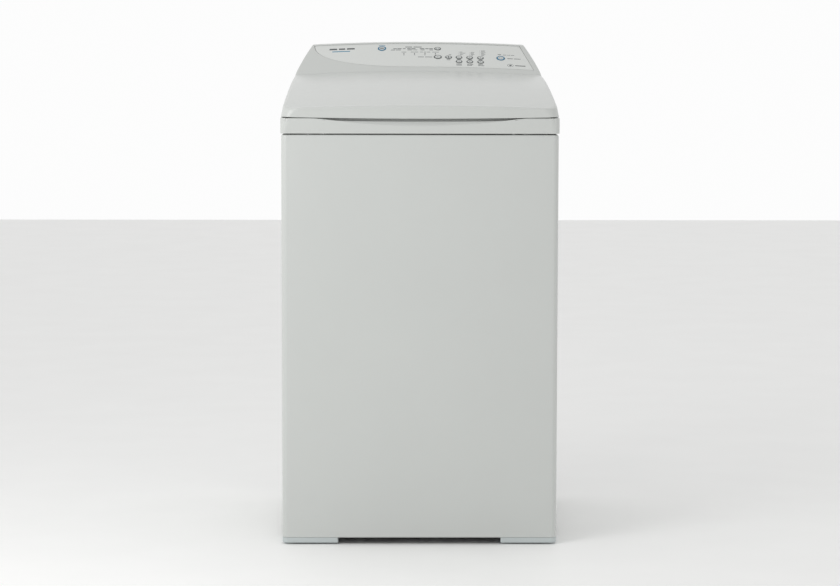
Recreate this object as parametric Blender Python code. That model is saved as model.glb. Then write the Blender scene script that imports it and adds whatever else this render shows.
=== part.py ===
"""A narrow top-load washing machine with a direct-drive motor, modelled piece by piece.

Metres, +Z up. The front faces -Y and the origin is on the floor under the middle of the cabinet.
Run it with: blender --background --python part.py
"""

import math

import bmesh
import bpy
import numpy as np
from mathutils import Matrix, Vector

# ---------------------------------------------------------------- driving dimensions
WIDTH = 0.560
DEPTH = 0.560
HEIGHT = 1.015  # floor to the crown of the console
HEAD_HEIGHT = 0.1835  # the plastic top, from the cabinet's rim to the crown
PLINTH = 0.014  # underside of the steel cabinet above the floor
GAP = 0.0003  # between pieces that touch
RUNNING = 0.0003  # radial clearance of a shaft or pin in its hole

# Cabinet
SHEET = 0.001
WRAPPER_INSET = 0.0015  # the steel stands back from the plastic top by this much
CORNER_RADIUS = 0.012
RIM_RADIUS = 0.004
RIM_FLANGE = 0.0075
BACK_FLANGE = 0.030
SEAM = 0.002  # open joint between the cabinet and the top
PANEL_PRESSING = 0.004

# Base, corner blocks and feet
BLOCK_WIDTH = 0.1135
BLOCK_DEPTH = 0.100
BLOCK_CLEAR = 0.003  # underside of a corner block above the floor
BLOCK_BOSS_RADIUS = 0.015
BLOCK_BOSS_HEIGHT = 0.024
BASE_FRAME_WIDTH = 0.034
BASE_FRAME_HEIGHT = 0.024
BASE_FRAME_SHEET = 0.002
FOOT_INSET = 0.066
FOOT_PAD_RADIUS = 0.020
FOOT_PAD_HEIGHT = 0.0065
FOOT_STEM_RADIUS = 0.005
FOOT_TRAVEL = 0.020

# Top deck
DECK_WALL = 0.003
DECK_FACE = 0.031  # height of the front band under the lid
DECK_RADIUS = 0.012
RAIL_RISE = 0.039  # the side rails climb this much towards the console
SCOOP_HALF = 0.211  # half width of the finger scoop
SCOOP_DROP = 0.0160
FINGER_GAP = 0.0065  # the deck's front edge drops this much under the lid's lip
SCOOP_SLOPE = 0.70  # how far the scoop runs in for each unit of height
DISH_DROP = 0.0065
RIM_LEDGE = 0.012
FRONT_LEDGE = 0.028
RECESS_DEPTH = 0.028
RECESS_HALF = 0.205
RECESS_MARGIN = 0.010
OPENING_RADIUS = 0.110
SKIRT_TAPER = 0.010
SKIRT_DROP = 0.0625  # from the lid line down to the skirt's lower edge

# Lid
LID_WALL = 0.003
LID_GAP = 0.002
LIP_HEIGHT = 0.0195  # front lip at the corners
LIP_DROP = 0.003  # the lip hangs lower in the middle
LID_CROWN = 0.006
LID_CROWN_GROWTH = 0.003
LID_CLIMB = 0.2455  # slope of the lid just behind the crease
LID_BEND = 0.252  # how fast that slope eases off
SIDE_LEAN = 0.14
REAR_FLANGE = 0.008
LID_BACK_RADIUS = 0.0065
HINGE_SETBACK = 0.0255  # pivot in front of the console
HINGE_DROP = 0.0125  # pivot below the lid's rear edge at the sides
HINGE_PIN_RADIUS = 0.004
HINGE_EAR = 0.010
HINGE_EAR_RADIUS = 0.008
EAR_LEAN = 0.015  # the ear stands on its foot this far in front of the pivot, clear of the lid's rear flange
HANGER = 0.005
LID_OPEN = 95.0

# Console
CONSOLE_DEPTH = 0.1175
CONSOLE_WALL = 0.004
CONSOLE_CROWN = 0.009
TOP_STRIP = 0.0295  # level strip behind the sloping face
CHEEK_LEAN = 0.27
CHEEK_CURVE = 2.0
CHEEK_ROUND = 0.006
FASCIA_THICKNESS = 0.0024
FASCIA_LEDGE = 0.006
FASCIA_LOW = 0.017  # up the slope from the foot of the face
FASCIA_TOP_MARGIN = 0.0028  # below the upper edge of the face
FASCIA_LEFT_MARGIN = 0.054  # in from the machine's side
FASCIA_RIGHT_MARGIN_LOW = 0.030
FASCIA_RIGHT_MARGIN_HIGH = 0.058
FASCIA_ROUNDNESS = 2.2
BUTTON_CLEARANCE = 0.0004
BUTTON_PROUD = 0.0009
BUTTON_FLANGE = 0.001
BUTTON_TRAVEL = 0.0012

# Tub, basket and drive
TUB_ROOM = 0.0355  # cabinet's half width to the tub
TUB_WALL = 0.003
TUB_FLOOR = 0.205
TUB_TRAVEL = 0.025
HUB_RADIUS = 0.036
SHAFT_RADIUS = 0.0125
BEARING_RADIUS = 0.026
BEARING_HEIGHT = 0.015
SEAL_HEIGHT = 0.013
BASKET_ROOM = 0.019
BASKET_SHEET = 0.001
BALANCE_ROOM = 0.012
BALANCE_WIDTH = 0.0315
BALANCE_HEIGHT = 0.0425
BASE_LIFT = 0.021  # underside of the basket above the tub's underside
BUSH_WALL = 0.005
FLOAT_TRAVEL = 0.008
STATOR_OUTER = 0.118
STATOR_INNER = 0.050
STATOR_HEIGHT = 0.034
STATOR_POLES = 18
ROTOR_WALL = 0.0085
AGITATOR_SKIRT = 0.1675
AGITATOR_POST = 0.052
AGITATOR_WALL = 0.003
AGITATOR_DROP = 0.128  # agitator's top below the balance ring's top
VANE_THICKNESS = 0.005
CUP_LIFT = 0.050

# Suspension
ROD_INSET = 0.058
ROD_RADIUS = 0.004
ROD_CLEARANCE = 0.0006
ROD_HEAD_RADIUS = 0.0095
ROD_CUP_RADIUS = 0.018
ROD_FOOT = 0.228
EAR_THICKNESS = 0.012
EAR_WIDTH = 0.036
SPRING_LENGTH = 0.062
SPRING_RADIUS = 0.0125
SPRING_WIRE = 0.0018
SPRING_TURNS = 5
FRAME_SHEET = 0.0025
FRAME_WIDTH = 0.070

# Water
PUMP_RADIUS = 0.038
PUMP_ROOM = 0.022
PUMP_ANGLE = 135.0
VALVE_SPREAD = 0.060
VALVE_X = 0.110
THREAD_RADIUS = 0.0125
NOZZLE_RADIUS = 0.007
DRAIN_X = -0.150
GLAND_X = 0.005
HOSE_RADIUS = 0.010

# ---------------------------------------------------------------- places worked out from them
HALF_W = WIDTH / 2
HALF_D = DEPTH / 2
WRAPPER_HALF_W = HALF_W - WRAPPER_INSET
WRAPPER_HALF_D = HALF_D - WRAPPER_INSET
WRAPPER_TOP = HEIGHT - HEAD_HEIGHT
DECK_BASE = WRAPPER_TOP + SEAM
LID_LINE = DECK_BASE + DECK_FACE
CONSOLE_BASE = LID_LINE + RAIL_RISE + GAP
CONSOLE_FRONT = HALF_D - CONSOLE_DEPTH
LID_BACK = CONSOLE_FRONT - 0.001
LID_SIDE_CREASE = LID_LINE + LIP_HEIGHT
LID_RUN = LID_BACK + HALF_D - 0.010
HINGE_Y = CONSOLE_FRONT - HINGE_SETBACK
FACE_FOOT = LID_SIDE_CREASE + LID_CLIMB * LID_RUN - LID_BEND * LID_RUN**2 + LID_CROWN + LID_CROWN_GROWTH
HINGE_Z = FACE_FOOT - LID_CROWN - LID_CROWN_GROWTH - HINGE_DROP
FACE_RUN = CONSOLE_DEPTH - TOP_STRIP
FACE_RISE = HEIGHT - 0.0025 - FACE_FOOT
FACE_SLOPE = FACE_RISE / FACE_RUN
FACE_LENGTH = math.hypot(FACE_RUN, FACE_RISE)
FASCIA_HIGH = FACE_LENGTH - FASCIA_TOP_MARGIN
NOTCH_Z = FACE_FOOT - CONSOLE_CROWN
SWING = HINGE_Z - (LID_LINE + RAIL_RISE) - LID_GAP
POCKET_BACK = CONSOLE_FRONT + 0.0095

FRAME_TOP = WRAPPER_TOP - 0.017
RING_TOP = FRAME_TOP - 0.0315
TUB_TOP = RING_TOP - 0.013
TUB_OUTER = min(HALF_W, HALF_D) - TUB_ROOM
TUB_INNER = TUB_OUTER - TUB_WALL
BALANCE_OUTER = TUB_INNER - BALANCE_ROOM
BALANCE_INNER = BALANCE_OUTER - BALANCE_WIDTH
BALANCE_TOP = TUB_TOP - 0.002
BALANCE_BASE = BALANCE_TOP - BALANCE_HEIGHT
BASKET_OUTER = TUB_INNER - BASKET_ROOM
BASKET_INNER = BASKET_OUTER - BASKET_SHEET
BASKET_FLOOR = TUB_FLOOR + BASE_LIFT
AGITATOR_TOP = BALANCE_TOP - AGITATOR_DROP
AGITATOR_BASE = BASKET_FLOOR + 0.0265
HUB_BASE = TUB_FLOOR - 0.037
HUB_TOP = TUB_FLOOR + 0.038
WEB_Z = HUB_TOP + 0.107
BUSH_OUTER = SHAFT_RADIUS + RUNNING + BUSH_WALL

OPENING_HALF = BALANCE_INNER - 0.003
OPENING_FRONT = -BALANCE_INNER - 0.007
OPENING_BACK = HINGE_Y - 0.012
ROD_X = HALF_W - ROD_INSET
ROD_Y = HALF_D - ROD_INSET
FOOT_X = HALF_W - FOOT_INSET
FOOT_Y = HALF_D - FOOT_INSET
EAR_Z = ROD_FOOT + 0.008 + GAP + SPRING_LENGTH + GAP
PUMP_REACH = STATOR_OUTER + 0.0045 + ROTOR_WALL + PUMP_ROOM + PUMP_RADIUS
PUMP_X = PUMP_REACH * math.cos(math.radians(PUMP_ANGLE))
PUMP_Y = PUMP_REACH * math.sin(math.radians(PUMP_ANGLE))
RECESS_WALL_Y = HALF_D - RECESS_DEPTH
FASCIA_LEFT = HALF_W - FASCIA_LEFT_MARGIN
FASCIA_RIGHT_LOW = HALF_W - FASCIA_RIGHT_MARGIN_LOW
FASCIA_RIGHT_HIGH = HALF_W - FASCIA_RIGHT_MARGIN_HIGH
RECESS_MIDDLE = (DECK_BASE + LID_LINE + RAIL_RISE) / 2

# name: place across, place up the slope, half width, half height
BUTTONS = {
    "power_button": (-0.0793, FACE_LENGTH - 0.0203, 0.0090, 0.0087),
    "cycle_button": (0.0425, FACE_LENGTH - 0.0215, 0.0071, 0.0058),
    "advance_button": (0.0426, 0.0537, 0.0086, 0.0069),
    "option_button": (0.0661, 0.0535, 0.0071, 0.0059),
    "water_level_up_button": (0.0887, 0.0536, 0.0070, 0.0058),
    "water_level_down_button": (0.0887, 0.0380, 0.0070, 0.0058),
    "spin_speed_up_button": (0.1121, 0.0536, 0.0070, 0.0058),
    "spin_speed_down_button": (0.1121, 0.0380, 0.0070, 0.0058),
    "temperature_up_button": (0.1356, 0.0536, 0.0070, 0.0058),
    "temperature_down_button": (0.1356, 0.0380, 0.0070, 0.0058),
    "start_button": (0.1798, 0.0553, 0.0091, 0.0082),
}

TURN = 36  # segments of a large round piece
SMALL_TURN = 20
SMOOTH_ANGLE = math.radians(35)

# colour, roughness, metallic
FINISHES = {
    "enamel_white": ((0.60, 0.62, 0.60), 0.35, 0.0),
    "shell_plastic": ((0.62, 0.64, 0.62), 0.25, 0.0),
    "fascia_grey": ((0.63, 0.66, 0.64), 0.30, 0.0),
    "button_grey": ((0.60, 0.62, 0.61), 0.35, 0.0),
    "button_blue": ((0.10, 0.30, 0.42), 0.35, 0.0),
    "foot_grey": ((0.40, 0.44, 0.44), 0.50, 0.0),
    "rubber_black": ((0.03, 0.03, 0.03), 0.80, 0.0),
    "tub_plastic": ((0.70, 0.71, 0.70), 0.45, 0.0),
    "agitator_plastic": ((0.72, 0.73, 0.73), 0.35, 0.0),
    "drum_steel": ((0.60, 0.60, 0.60), 0.25, 1.0),
    "zinc_steel": ((0.50, 0.51, 0.52), 0.40, 1.0),
    "bearing_steel": ((0.55, 0.56, 0.58), 0.20, 1.0),
    "winding_copper": ((0.70, 0.33, 0.16), 0.35, 1.0),
    "module_black": ((0.04, 0.04, 0.05), 0.50, 0.0),
    "valve_plastic": ((0.66, 0.66, 0.62), 0.45, 0.0),
}


# ---------------------------------------------------------------- tools
def clear_scene():
    for old in list(bpy.data.objects):
        bpy.data.objects.remove(old)


def finish_material(name):
    """The named finish as a Principled material, made once."""
    found = bpy.data.materials.get(name)
    if found:
        return found
    colour, roughness, metallic = FINISHES[name]
    made = bpy.data.materials.new(name)
    made.use_nodes = True
    shader = made.node_tree.nodes["Principled BSDF"]
    shader.inputs["Base Color"].default_value = (*colour, 1)
    shader.inputs["Roughness"].default_value = roughness
    shader.inputs["Metallic"].default_value = metallic
    return made


def solid(name, points, faces, finish):
    """One closed object from points and faces, its faces turned outwards."""
    mesh = bpy.data.meshes.new(name)
    mesh.from_pydata([tuple(map(float, p)) for p in points], [], faces)
    work = bmesh.new()
    work.from_mesh(mesh)
    bmesh.ops.recalc_face_normals(work, faces=work.faces)
    work.to_mesh(mesh)
    work.free()
    mesh.shade_smooth()
    mesh.set_sharp_from_angle(angle=SMOOTH_ANGLE)
    mesh.materials.append(finish_material(finish))
    made = bpy.data.objects.new(name, mesh)
    bpy.context.scene.collection.objects.link(made)
    return made


def stack(name, loops, finish, closed=False):
    """Closed loops of equally many points, joined one to the next.

    Closed runs the last loop back to the first.
    """
    loops = np.asarray(loops, float)
    rows, columns = loops.shape[:2]
    faces = []
    for row in range(rows if closed else rows - 1):
        low, high = row * columns, (row + 1) % rows * columns
        for column in range(columns):
            after = (column + 1) % columns
            faces.append((low + column, low + after, high + after, high + column))
    if not closed:
        faces.append(tuple(range(columns))[::-1])
        faces.append(tuple(range((rows - 1) * columns, rows * columns)))
    return solid(name, loops.reshape(-1, 3), faces, finish)


def turned(name, profile, finish, at=(0.0, 0.0), segments=TURN, along=None):
    """A profile of (radius, height) turned about Z. One that starts and ends at radius 0 is solid.

    along is a matrix that carries the turned piece from the Z axis to where it belongs.
    """
    ring = [(r, z) for r, z in profile if r > 0]
    angles = np.linspace(0, 2 * math.pi, segments, endpoint=False)
    round_xy = np.stack([np.cos(angles), np.sin(angles)], 1)
    loops = [np.column_stack([round_xy * r + at, np.full(segments, z)]) for r, z in ring]
    made = stack(name, loops, finish, closed=profile[0][0] > 0)
    if along is not None:
        made.data.transform(along)
    return made


def block(name, low, high, finish):
    """A box between two corners."""
    (x0, y0, z0), (x1, y1, z1) = low, high
    outline = [(x0, y0), (x1, y0), (x1, y1), (x0, y1)]
    return stack(name, [[(x, y, z) for x, y in outline] for z in (z0, z1)], finish)


def boolean(target, operation, tool):
    """Joins tool to target, or cuts it from target. The tool stays in the file as a hidden helper."""
    step = target.modifiers.new(tool.name, "BOOLEAN")
    step.operation = operation
    step.object = tool
    tool.hide_render = True
    tool.display_type = "WIRE"


def join(target, tool):
    boolean(target, "UNION", tool)


def cut(target, tool):
    boolean(target, "DIFFERENCE", tool)


def cylinder(name, start, end, radius, finish, segments=SMALL_TURN):
    """A straight round bar from start to end."""
    start, end = Vector(start), Vector(end)
    turn = (end - start).to_track_quat("Z", "Y").to_matrix().to_4x4()
    carry = Matrix.Translation(start) @ turn
    length = (end - start).length
    return turned(
        name, [(0, 0), (radius, 0), (radius, length), (0, length)], finish, segments=segments, along=carry
    )


def along_y(x, y, z):
    """Carries a piece turned about Z so that its axis runs towards +Y from the point given."""
    return Matrix.Translation((x, y, z)) @ Matrix.Rotation(-math.pi / 2, 4, "X")


def smoothstep(share):
    share = np.clip(share, 0, 1)
    return share * share * (3 - 2 * share)


# Shares along each straight side of a rounded outline: every loop of the top has the same columns.
FRONT_SHARES = np.linspace(-1, 1, 13)
SIDE_SHARES = np.array([-1, -0.72, -0.44, -0.16, 0.12, 0.4, 0.64, 0.83, 0.89, 0.945, 1.0])
BACK_SHARES = np.linspace(1, -1, 7)
CORNER_ANGLES = np.radians(np.linspace(0, 90, 5)[1:-1])


def outline(half_x, front, back, radius, back_radius=None):
    """A rounded rectangle as points in order: front left to right, right side, back, left side."""
    back_radius = radius if back_radius is None else back_radius
    middle_y, half_y = (front + back) / 2, (back - front) / 2
    rows = []
    for x in FRONT_SHARES:
        rows.append((x * (half_x - radius), front))
    for angle in CORNER_ANGLES:
        rows.append((half_x - radius + radius * math.sin(angle), front + radius - radius * math.cos(angle)))
    low, high = front + radius, back - back_radius
    side = [(low + high) / 2 + share * (high - low) / 2 for share in SIDE_SHARES]
    rows += [(half_x, y) for y in side]
    for angle in CORNER_ANGLES:
        reach = half_x - back_radius + back_radius * math.cos(angle)
        rows.append((reach, back - back_radius + back_radius * math.sin(angle)))
    for share in BACK_SHARES:
        rows.append((share * (half_x - back_radius), back))
    for angle in CORNER_ANGLES[::-1]:
        reach = half_x - back_radius + back_radius * math.cos(angle)
        rows.append((-reach, back - back_radius + back_radius * math.sin(angle)))
    rows += [(-half_x, y) for y in side[::-1]]
    for angle in CORNER_ANGLES[::-1]:
        rows.append(
            (-(half_x - radius + radius * math.sin(angle)), front + radius - radius * math.cos(angle))
        )
    return np.array(rows)


FRONT_COLUMNS = len(FRONT_SHARES)
BACK_START = FRONT_COLUMNS + 2 * len(CORNER_ANGLES) + len(SIDE_SHARES)
BACK_COLUMNS = slice(BACK_START, BACK_START + len(BACK_SHARES))


# ---------------------------------------------------------------- the shape of the top
def rail_height(y):
    """Upper edge of the deck's side rails: level at the front, then climbing to the console."""
    return LID_LINE + RAIL_RISE * smoothstep((y + HALF_D) / (CONSOLE_FRONT + HALF_D))


def lid_height(x, y):
    """Outer surface of the lid: a slope that eases off towards the back, crowned from side to side."""
    run = np.clip(y + HALF_D - 0.010, 0, None)
    crown = LID_CROWN + LID_CROWN_GROWTH * run / LID_RUN
    return LID_SIDE_CREASE + LID_CLIMB * run - LID_BEND * run**2 + crown * (1 - (x / HALF_W) ** 2)


def face_height(x, y):
    """The console's sloping face, crowned from side to side."""
    return FACE_FOOT + FACE_SLOPE * (y - CONSOLE_FRONT) - CONSOLE_CROWN * (x / HALF_W) ** 2


def cheek_inset(z):
    """How far the sides of the lid and console stand in from the full width at a height."""
    above = np.clip(z - NOTCH_Z, 0, None)
    return SIDE_LEAN * (z - LID_LINE) + CHEEK_LEAN * above + CHEEK_CURVE * above**2


def face_frame(across, up):
    """Point on the console's face, and its outward normal, from a place across and a place up the slope."""
    y = CONSOLE_FRONT + up / math.hypot(1, FACE_SLOPE)
    point = Vector((across, y, float(face_height(across, y))))
    tilt = -2 * CONSOLE_CROWN * across / HALF_W**2
    return point, Vector((-tilt, -FACE_SLOPE, 1)).normalized()


# ---------------------------------------------------------------- cabinet
def make_wrapper():
    """Front and sides folded from one sheet, with flanges turned in at the back and a rolled upper rim."""
    radius, half_x, half_y = CORNER_RADIUS, WRAPPER_HALF_W, WRAPPER_HALF_D
    path = [(-half_x + BACK_FLANGE, half_y, 0.0, 1.0)]
    corners = ((-1, 1, 90), (-1, -1, 180), (1, -1, 270), (1, 1, 360))
    for side_x, side_y, start in corners:
        middle = (side_x * (half_x - radius), side_y * (half_y - radius))
        for angle in np.radians(np.linspace(start, start + 90, 5)):
            out = (math.cos(angle), math.sin(angle))
            path.append((middle[0] + radius * out[0], middle[1] + radius * out[1], *out))
    path.append((half_x - BACK_FLANGE, half_y, 0.0, 1.0))
    lower, upper = PLINTH, WRAPPER_TOP
    bend = [(0, upper - RIM_RADIUS), (0.0012, upper - 0.0012), (RIM_RADIUS, upper), (RIM_FLANGE, upper)]
    inside = [
        (RIM_FLANGE, upper - SHEET),
        (RIM_RADIUS, upper - SHEET),
        (0.0019, upper - 0.0019),
        (SHEET, upper - RIM_RADIUS),
    ]
    section = [(0, lower), *bend, *inside, (SHEET, lower)]
    loops = [
        [(x - out_x * inset, y - out_y * inset, z) for inset, z in section] for x, y, out_x, out_y in path
    ]
    return stack("cabinet_wrapper", loops, "enamel_white")


def make_rear_panel():
    """Sheet behind the back flanges, with a shallow pressing that stiffens it."""
    half_x, low, high = WRAPPER_HALF_W - CORNER_RADIUS - 0.001, PLINTH + 0.004, WRAPPER_TOP - 0.006
    outer_y = WRAPPER_HALF_D - SHEET - GAP

    def rectangle(inset, y):
        x, z0, z1 = half_x - inset, low + inset, high - inset
        return [(-x, y, z0), (x, y, z0), (x, y, z1), (-x, y, z1)]

    step, ramp = 0.045, 0.055
    outside = [rectangle(0, outer_y), rectangle(step, outer_y), rectangle(ramp, outer_y - PANEL_PRESSING)]
    inside = [
        rectangle(0, outer_y - SHEET),
        rectangle(step, outer_y - SHEET),
        rectangle(ramp, outer_y - SHEET - PANEL_PRESSING),
    ]
    return stack("rear_panel", outside[::-1] + inside, "zinc_steel")


def hollow_square(name, half_x, half_y, width, low, high, lip=0.0):
    """A flat frame with rounded corners, such as the cabinet's corners take. With a lip, its rim is folded down."""

    def loop(inset, z):
        radius = CORNER_RADIUS + 0.002 if inset < width else 0.030
        return [(x, y, z) for x, y in rounded_square(half_x - inset, half_y - inset, radius)]

    loops = [loop(0, low - lip), loop(0, high), loop(width, high), loop(width, low)]
    if lip:
        loops += [loop(high - low, low), loop(high - low, low - lip)]
    return stack(name, loops, "zinc_steel", closed=True)


def rounded_square(half_x, half_y, radius):
    """Plan of a rounded square, four points to a corner."""
    rows = []
    for side_x, side_y, start in ((1, 1, 0), (-1, 1, 90), (-1, -1, 180), (1, -1, 270)):
        for angle in np.radians(np.linspace(start, start + 90, 4)):
            rows.append(
                (
                    side_x * (half_x - radius) + radius * math.cos(angle),
                    side_y * (half_y - radius) + radius * math.sin(angle),
                ),
            )
    return rows


def make_top_frame():
    """Sheet frame inside the cabinet's rim. The four suspension rods hang from its corners."""
    half_x, half_y = WRAPPER_HALF_W - SHEET - 0.001, WRAPPER_HALF_D - SHEET - 0.0025
    low = FRAME_TOP - FRAME_SHEET
    frame = hollow_square("top_frame", half_x, half_y, FRAME_WIDTH, low, FRAME_TOP)
    notch = (DRAIN_X - HOSE_RADIUS - 0.004, 0.150, low - 0.01), (
        DRAIN_X + HOSE_RADIUS + 0.004, half_y - 0.012, FRAME_TOP + 0.01
    )
    cut(frame, block("hose_notch", *notch, "zinc_steel"))
    for side_x in (-1, 1):
        for side_y in (-1, 1):
            place = (side_x * ROD_X, side_y * ROD_Y)
            name = f"frame_hole_{'l' if side_x < 0 else 'r'}{'f' if side_y < 0 else 'b'}"
            ends = (*place, low - 0.01), (*place, FRAME_TOP + 0.01)
            cut(frame, cylinder(name, *ends, ROD_RADIUS + ROD_CLEARANCE, "zinc_steel", 12))


def make_base_frame():
    """Angle-section frame that ties the bottom of the cabinet together."""
    half_x, half_y = WRAPPER_HALF_W - SHEET - 0.001, WRAPPER_HALF_D - SHEET - 0.0025
    low = PLINTH + GAP
    high = low + BASE_FRAME_HEIGHT
    lip = BASE_FRAME_HEIGHT - BASE_FRAME_SHEET
    hollow_square("base_frame", half_x, half_y, BASE_FRAME_WIDTH, high - BASE_FRAME_SHEET, high, lip)


def corner_outline(half_x, half_y, radius, side_x, side_y):
    """Plan of a corner block: square inside the cabinet, rounded at the cabinet's corner."""
    points = [(half_x - BLOCK_WIDTH, half_y - BLOCK_DEPTH), (half_x, half_y - BLOCK_DEPTH)]
    for angle in np.radians(np.linspace(0, 90, 5)):
        points.append(
            (half_x - radius + radius * math.cos(angle), half_y - radius + radius * math.sin(angle))
        )
    points.append((half_x - BLOCK_WIDTH, half_y))
    points = [(side_x * x, side_y * y) for x, y in points]
    return points if side_x * side_y > 0 else points[::-1]


def make_corner(tag, side_x, side_y):
    """A grey corner block under the cabinet, and the levelling foot that screws into it."""
    outline_xy = corner_outline(WRAPPER_HALF_W, WRAPPER_HALF_D, CORNER_RADIUS, side_x, side_y)
    top = PLINTH - GAP
    edge = 0.0015
    centre = np.mean(outline_xy, axis=0)
    shrink = [tuple(centre + (np.array(p) - centre) * (1 - 2 * edge / BLOCK_WIDTH)) for p in outline_xy]
    loops = [[(x, y, BLOCK_CLEAR) for x, y in shrink]]
    loops += [[(x, y, z) for x, y in outline_xy] for z in (BLOCK_CLEAR + edge, top)]
    made = stack(f"corner_block_{tag}", loops, "foot_grey")
    place = (side_x * FOOT_X, side_y * FOOT_Y)
    join(
        made,
        cylinder(
            f"boss_{tag}",
            (*place, top - 0.003),
            (*place, top + BLOCK_BOSS_HEIGHT),
            BLOCK_BOSS_RADIUS,
            "foot_grey",
            20,
        ),
    )
    pocket_top = FOOT_PAD_HEIGHT + 0.0012
    cut(
        made,
        cylinder(
            f"pad_pocket_{tag}",
            (*place, -0.01),
            (*place, pocket_top),
            FOOT_PAD_RADIUS + 0.002,
            "foot_grey",
            20,
        ),
    )
    cut(
        made,
        cylinder(
            f"stem_hole_{tag}", (*place, 0.0), (*place, 0.1), FOOT_STEM_RADIUS + RUNNING, "foot_grey", 12
        ),
    )
    profile = [
        (0, 0),
        (FOOT_PAD_RADIUS - 0.002, 0),
        (FOOT_PAD_RADIUS, 0.002),
        (FOOT_PAD_RADIUS, FOOT_PAD_HEIGHT - 0.001),
        (FOOT_STEM_RADIUS, FOOT_PAD_HEIGHT),
        (FOOT_STEM_RADIUS, top + BLOCK_BOSS_HEIGHT - 0.001),
        (0, top + BLOCK_BOSS_HEIGHT - 0.001),
    ]
    turned(f"levelling_foot_{tag}", profile, "rubber_black", at=place, segments=12)


# ---------------------------------------------------------------- top deck
def finger_gap(x):
    """How far the deck's front edge drops at a place across, to leave room for fingertips."""
    return FINGER_GAP * (1 - np.clip(np.abs(x) / SCOOP_HALF, 0, 1) ** 6)


def deck_wall(extra):
    """Loops up the deck's outer wall. extra moves them in by the wall, for the hidden side.

    The front columns fall back above the scoop's crease.
    """
    plan = outline(HALF_W - extra, -HALF_D + extra, HALF_D - extra, max(DECK_RADIUS - extra, 0.004))
    x, y = plan[:, 0], plan[:, 1]
    top = rail_height(y) - extra
    top[:FRONT_COLUMNS] -= finger_gap(x[:FRONT_COLUMNS])
    crease = np.minimum(LID_LINE - SCOOP_DROP * (1 - (x / SCOOP_HALF) ** 2), LID_LINE - 0.002) - extra
    front = np.zeros(len(plan))
    front[:FRONT_COLUMNS] = 1
    crease = np.where(front > 0, crease, (DECK_BASE + top) / 2)
    scoop = front * SCOOP_SLOPE * np.clip(top - crease, 0, None)
    edge = 0.001 if extra == 0 else 0.0
    rows = [
        (DECK_BASE, edge),
        (DECK_BASE + 0.0015, 0),
        (crease, 0),
        (top - 1.5 * edge - 0.0001, scoop),
        (top, scoop + edge),
    ]
    loops = []
    for z, step in rows:
        moved_y = y + front * step - np.where(y > HALF_D - DECK_RADIUS, step * (front == 0), 0)
        moved_x = x - np.sign(x) * np.where((front == 0) & (y <= HALF_D - DECK_RADIUS), step, 0)
        loops.append(np.column_stack([moved_x, moved_y, np.broadcast_to(z, x.shape)]))
    return loops


def deck_plane(half_x, front, back, radius, height, back_radius=None):
    """One level loop of the deck."""
    plan = outline(half_x, front, back, radius, back_radius)
    return np.column_stack([plan, np.broadcast_to(height, len(plan))])


def make_deck():
    """Moulded top: outer band and rails, a dish under the lid, and a skirt down into the basket."""
    wall = DECK_WALL
    dish = LID_LINE - DISH_DROP
    skirt_low = LID_LINE - SKIRT_DROP
    inner = (HALF_W - RIM_LEDGE, -HALF_D + FRONT_LEDGE, POCKET_BACK)
    plan = outline(*inner, 0.020)
    rim = rail_height(plan[:, 1])
    rim[BACK_COLUMNS] = LID_LINE + RAIL_RISE
    rim[:FRONT_COLUMNS] -= finger_gap(plan[:FRONT_COLUMNS, 0]) * 0.9

    def rim_loop(step, drop):
        loop = outline(inner[0] - step, inner[1] + step, inner[2] - step, 0.020)
        return np.column_stack([loop, rim - drop])

    def inner_loop(step, z):
        return deck_plane(inner[0] - step, inner[1] + step, inner[2] - step, 0.020, z)

    def mouth(grow, z):
        return deck_plane(OPENING_HALF + grow, OPENING_FRONT - grow, OPENING_BACK + grow, OPENING_RADIUS, z)

    shown = deck_wall(0)
    shown += [rim_loop(0, 0), rim_loop(0.001, 0.002), inner_loop(0.003, dish), mouth(0.010, dish - 0.002)]
    shown += [mouth(0.002, dish - 0.005), mouth(0, dish - 0.012), mouth(-SKIRT_TAPER, skirt_low)]
    hidden = [
        mouth(-SKIRT_TAPER + wall, skirt_low),
        mouth(wall, dish - 0.012 - wall),
        mouth(0.010, dish - 0.002 - wall),
    ]
    hidden += [inner_loop(0.003 - wall, dish - wall), rim_loop(-wall, wall)]
    hidden += deck_wall(wall)[::-1]
    deck = stack("top_deck", shown + hidden, "shell_plastic", closed=True)
    low, high = DECK_BASE + RECESS_MARGIN, LID_LINE + RAIL_RISE - RECESS_MARGIN
    corners = (-RECESS_HALF - wall, RECESS_WALL_Y - wall, low - wall), (
        RECESS_HALF + wall, HALF_D - 0.001, high + wall
    )
    join(deck, block("recess_shell", *corners, "shell_plastic"))
    cut(
        deck,
        block(
            "recess",
            (-RECESS_HALF, RECESS_WALL_Y, low),
            (RECESS_HALF, HALF_D + 0.01, high),
            "shell_plastic",
        ),
    )
    for side in (-1, 1):
        add_hinge_ear(deck, side)
    for name, x in (("hot", -VALVE_SPREAD / 2), ("cold", VALVE_SPREAD / 2)):
        back = (VALVE_X + x, RECESS_WALL_Y - 0.012, RECESS_MIDDLE), (
            VALVE_X + x, HALF_D + 0.01, RECESS_MIDDLE
        )
        cut(deck, cylinder(f"{name}_thread_hole", *back, THREAD_RADIUS + 0.0006, "shell_plastic", 20))
        front = (VALVE_X + x, POCKET_BACK - 0.02, RECESS_MIDDLE + 0.008), (
            VALVE_X + x, POCKET_BACK + 0.02, RECESS_MIDDLE + 0.008
        )
        cut(deck, cylinder(f"{name}_nozzle_hole", *front, NOZZLE_RADIUS + 0.0006, "shell_plastic", 16))
    for name, x, radius in (("drain", DRAIN_X, HOSE_RADIUS), ("gland", GLAND_X, 0.006)):
        back = (x, RECESS_WALL_Y - 0.012, RECESS_MIDDLE), (x, HALF_D + 0.01, RECESS_MIDDLE)
        cut(deck, cylinder(f"{name}_hole", *back, radius + 0.0006, "shell_plastic", 20))


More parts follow.
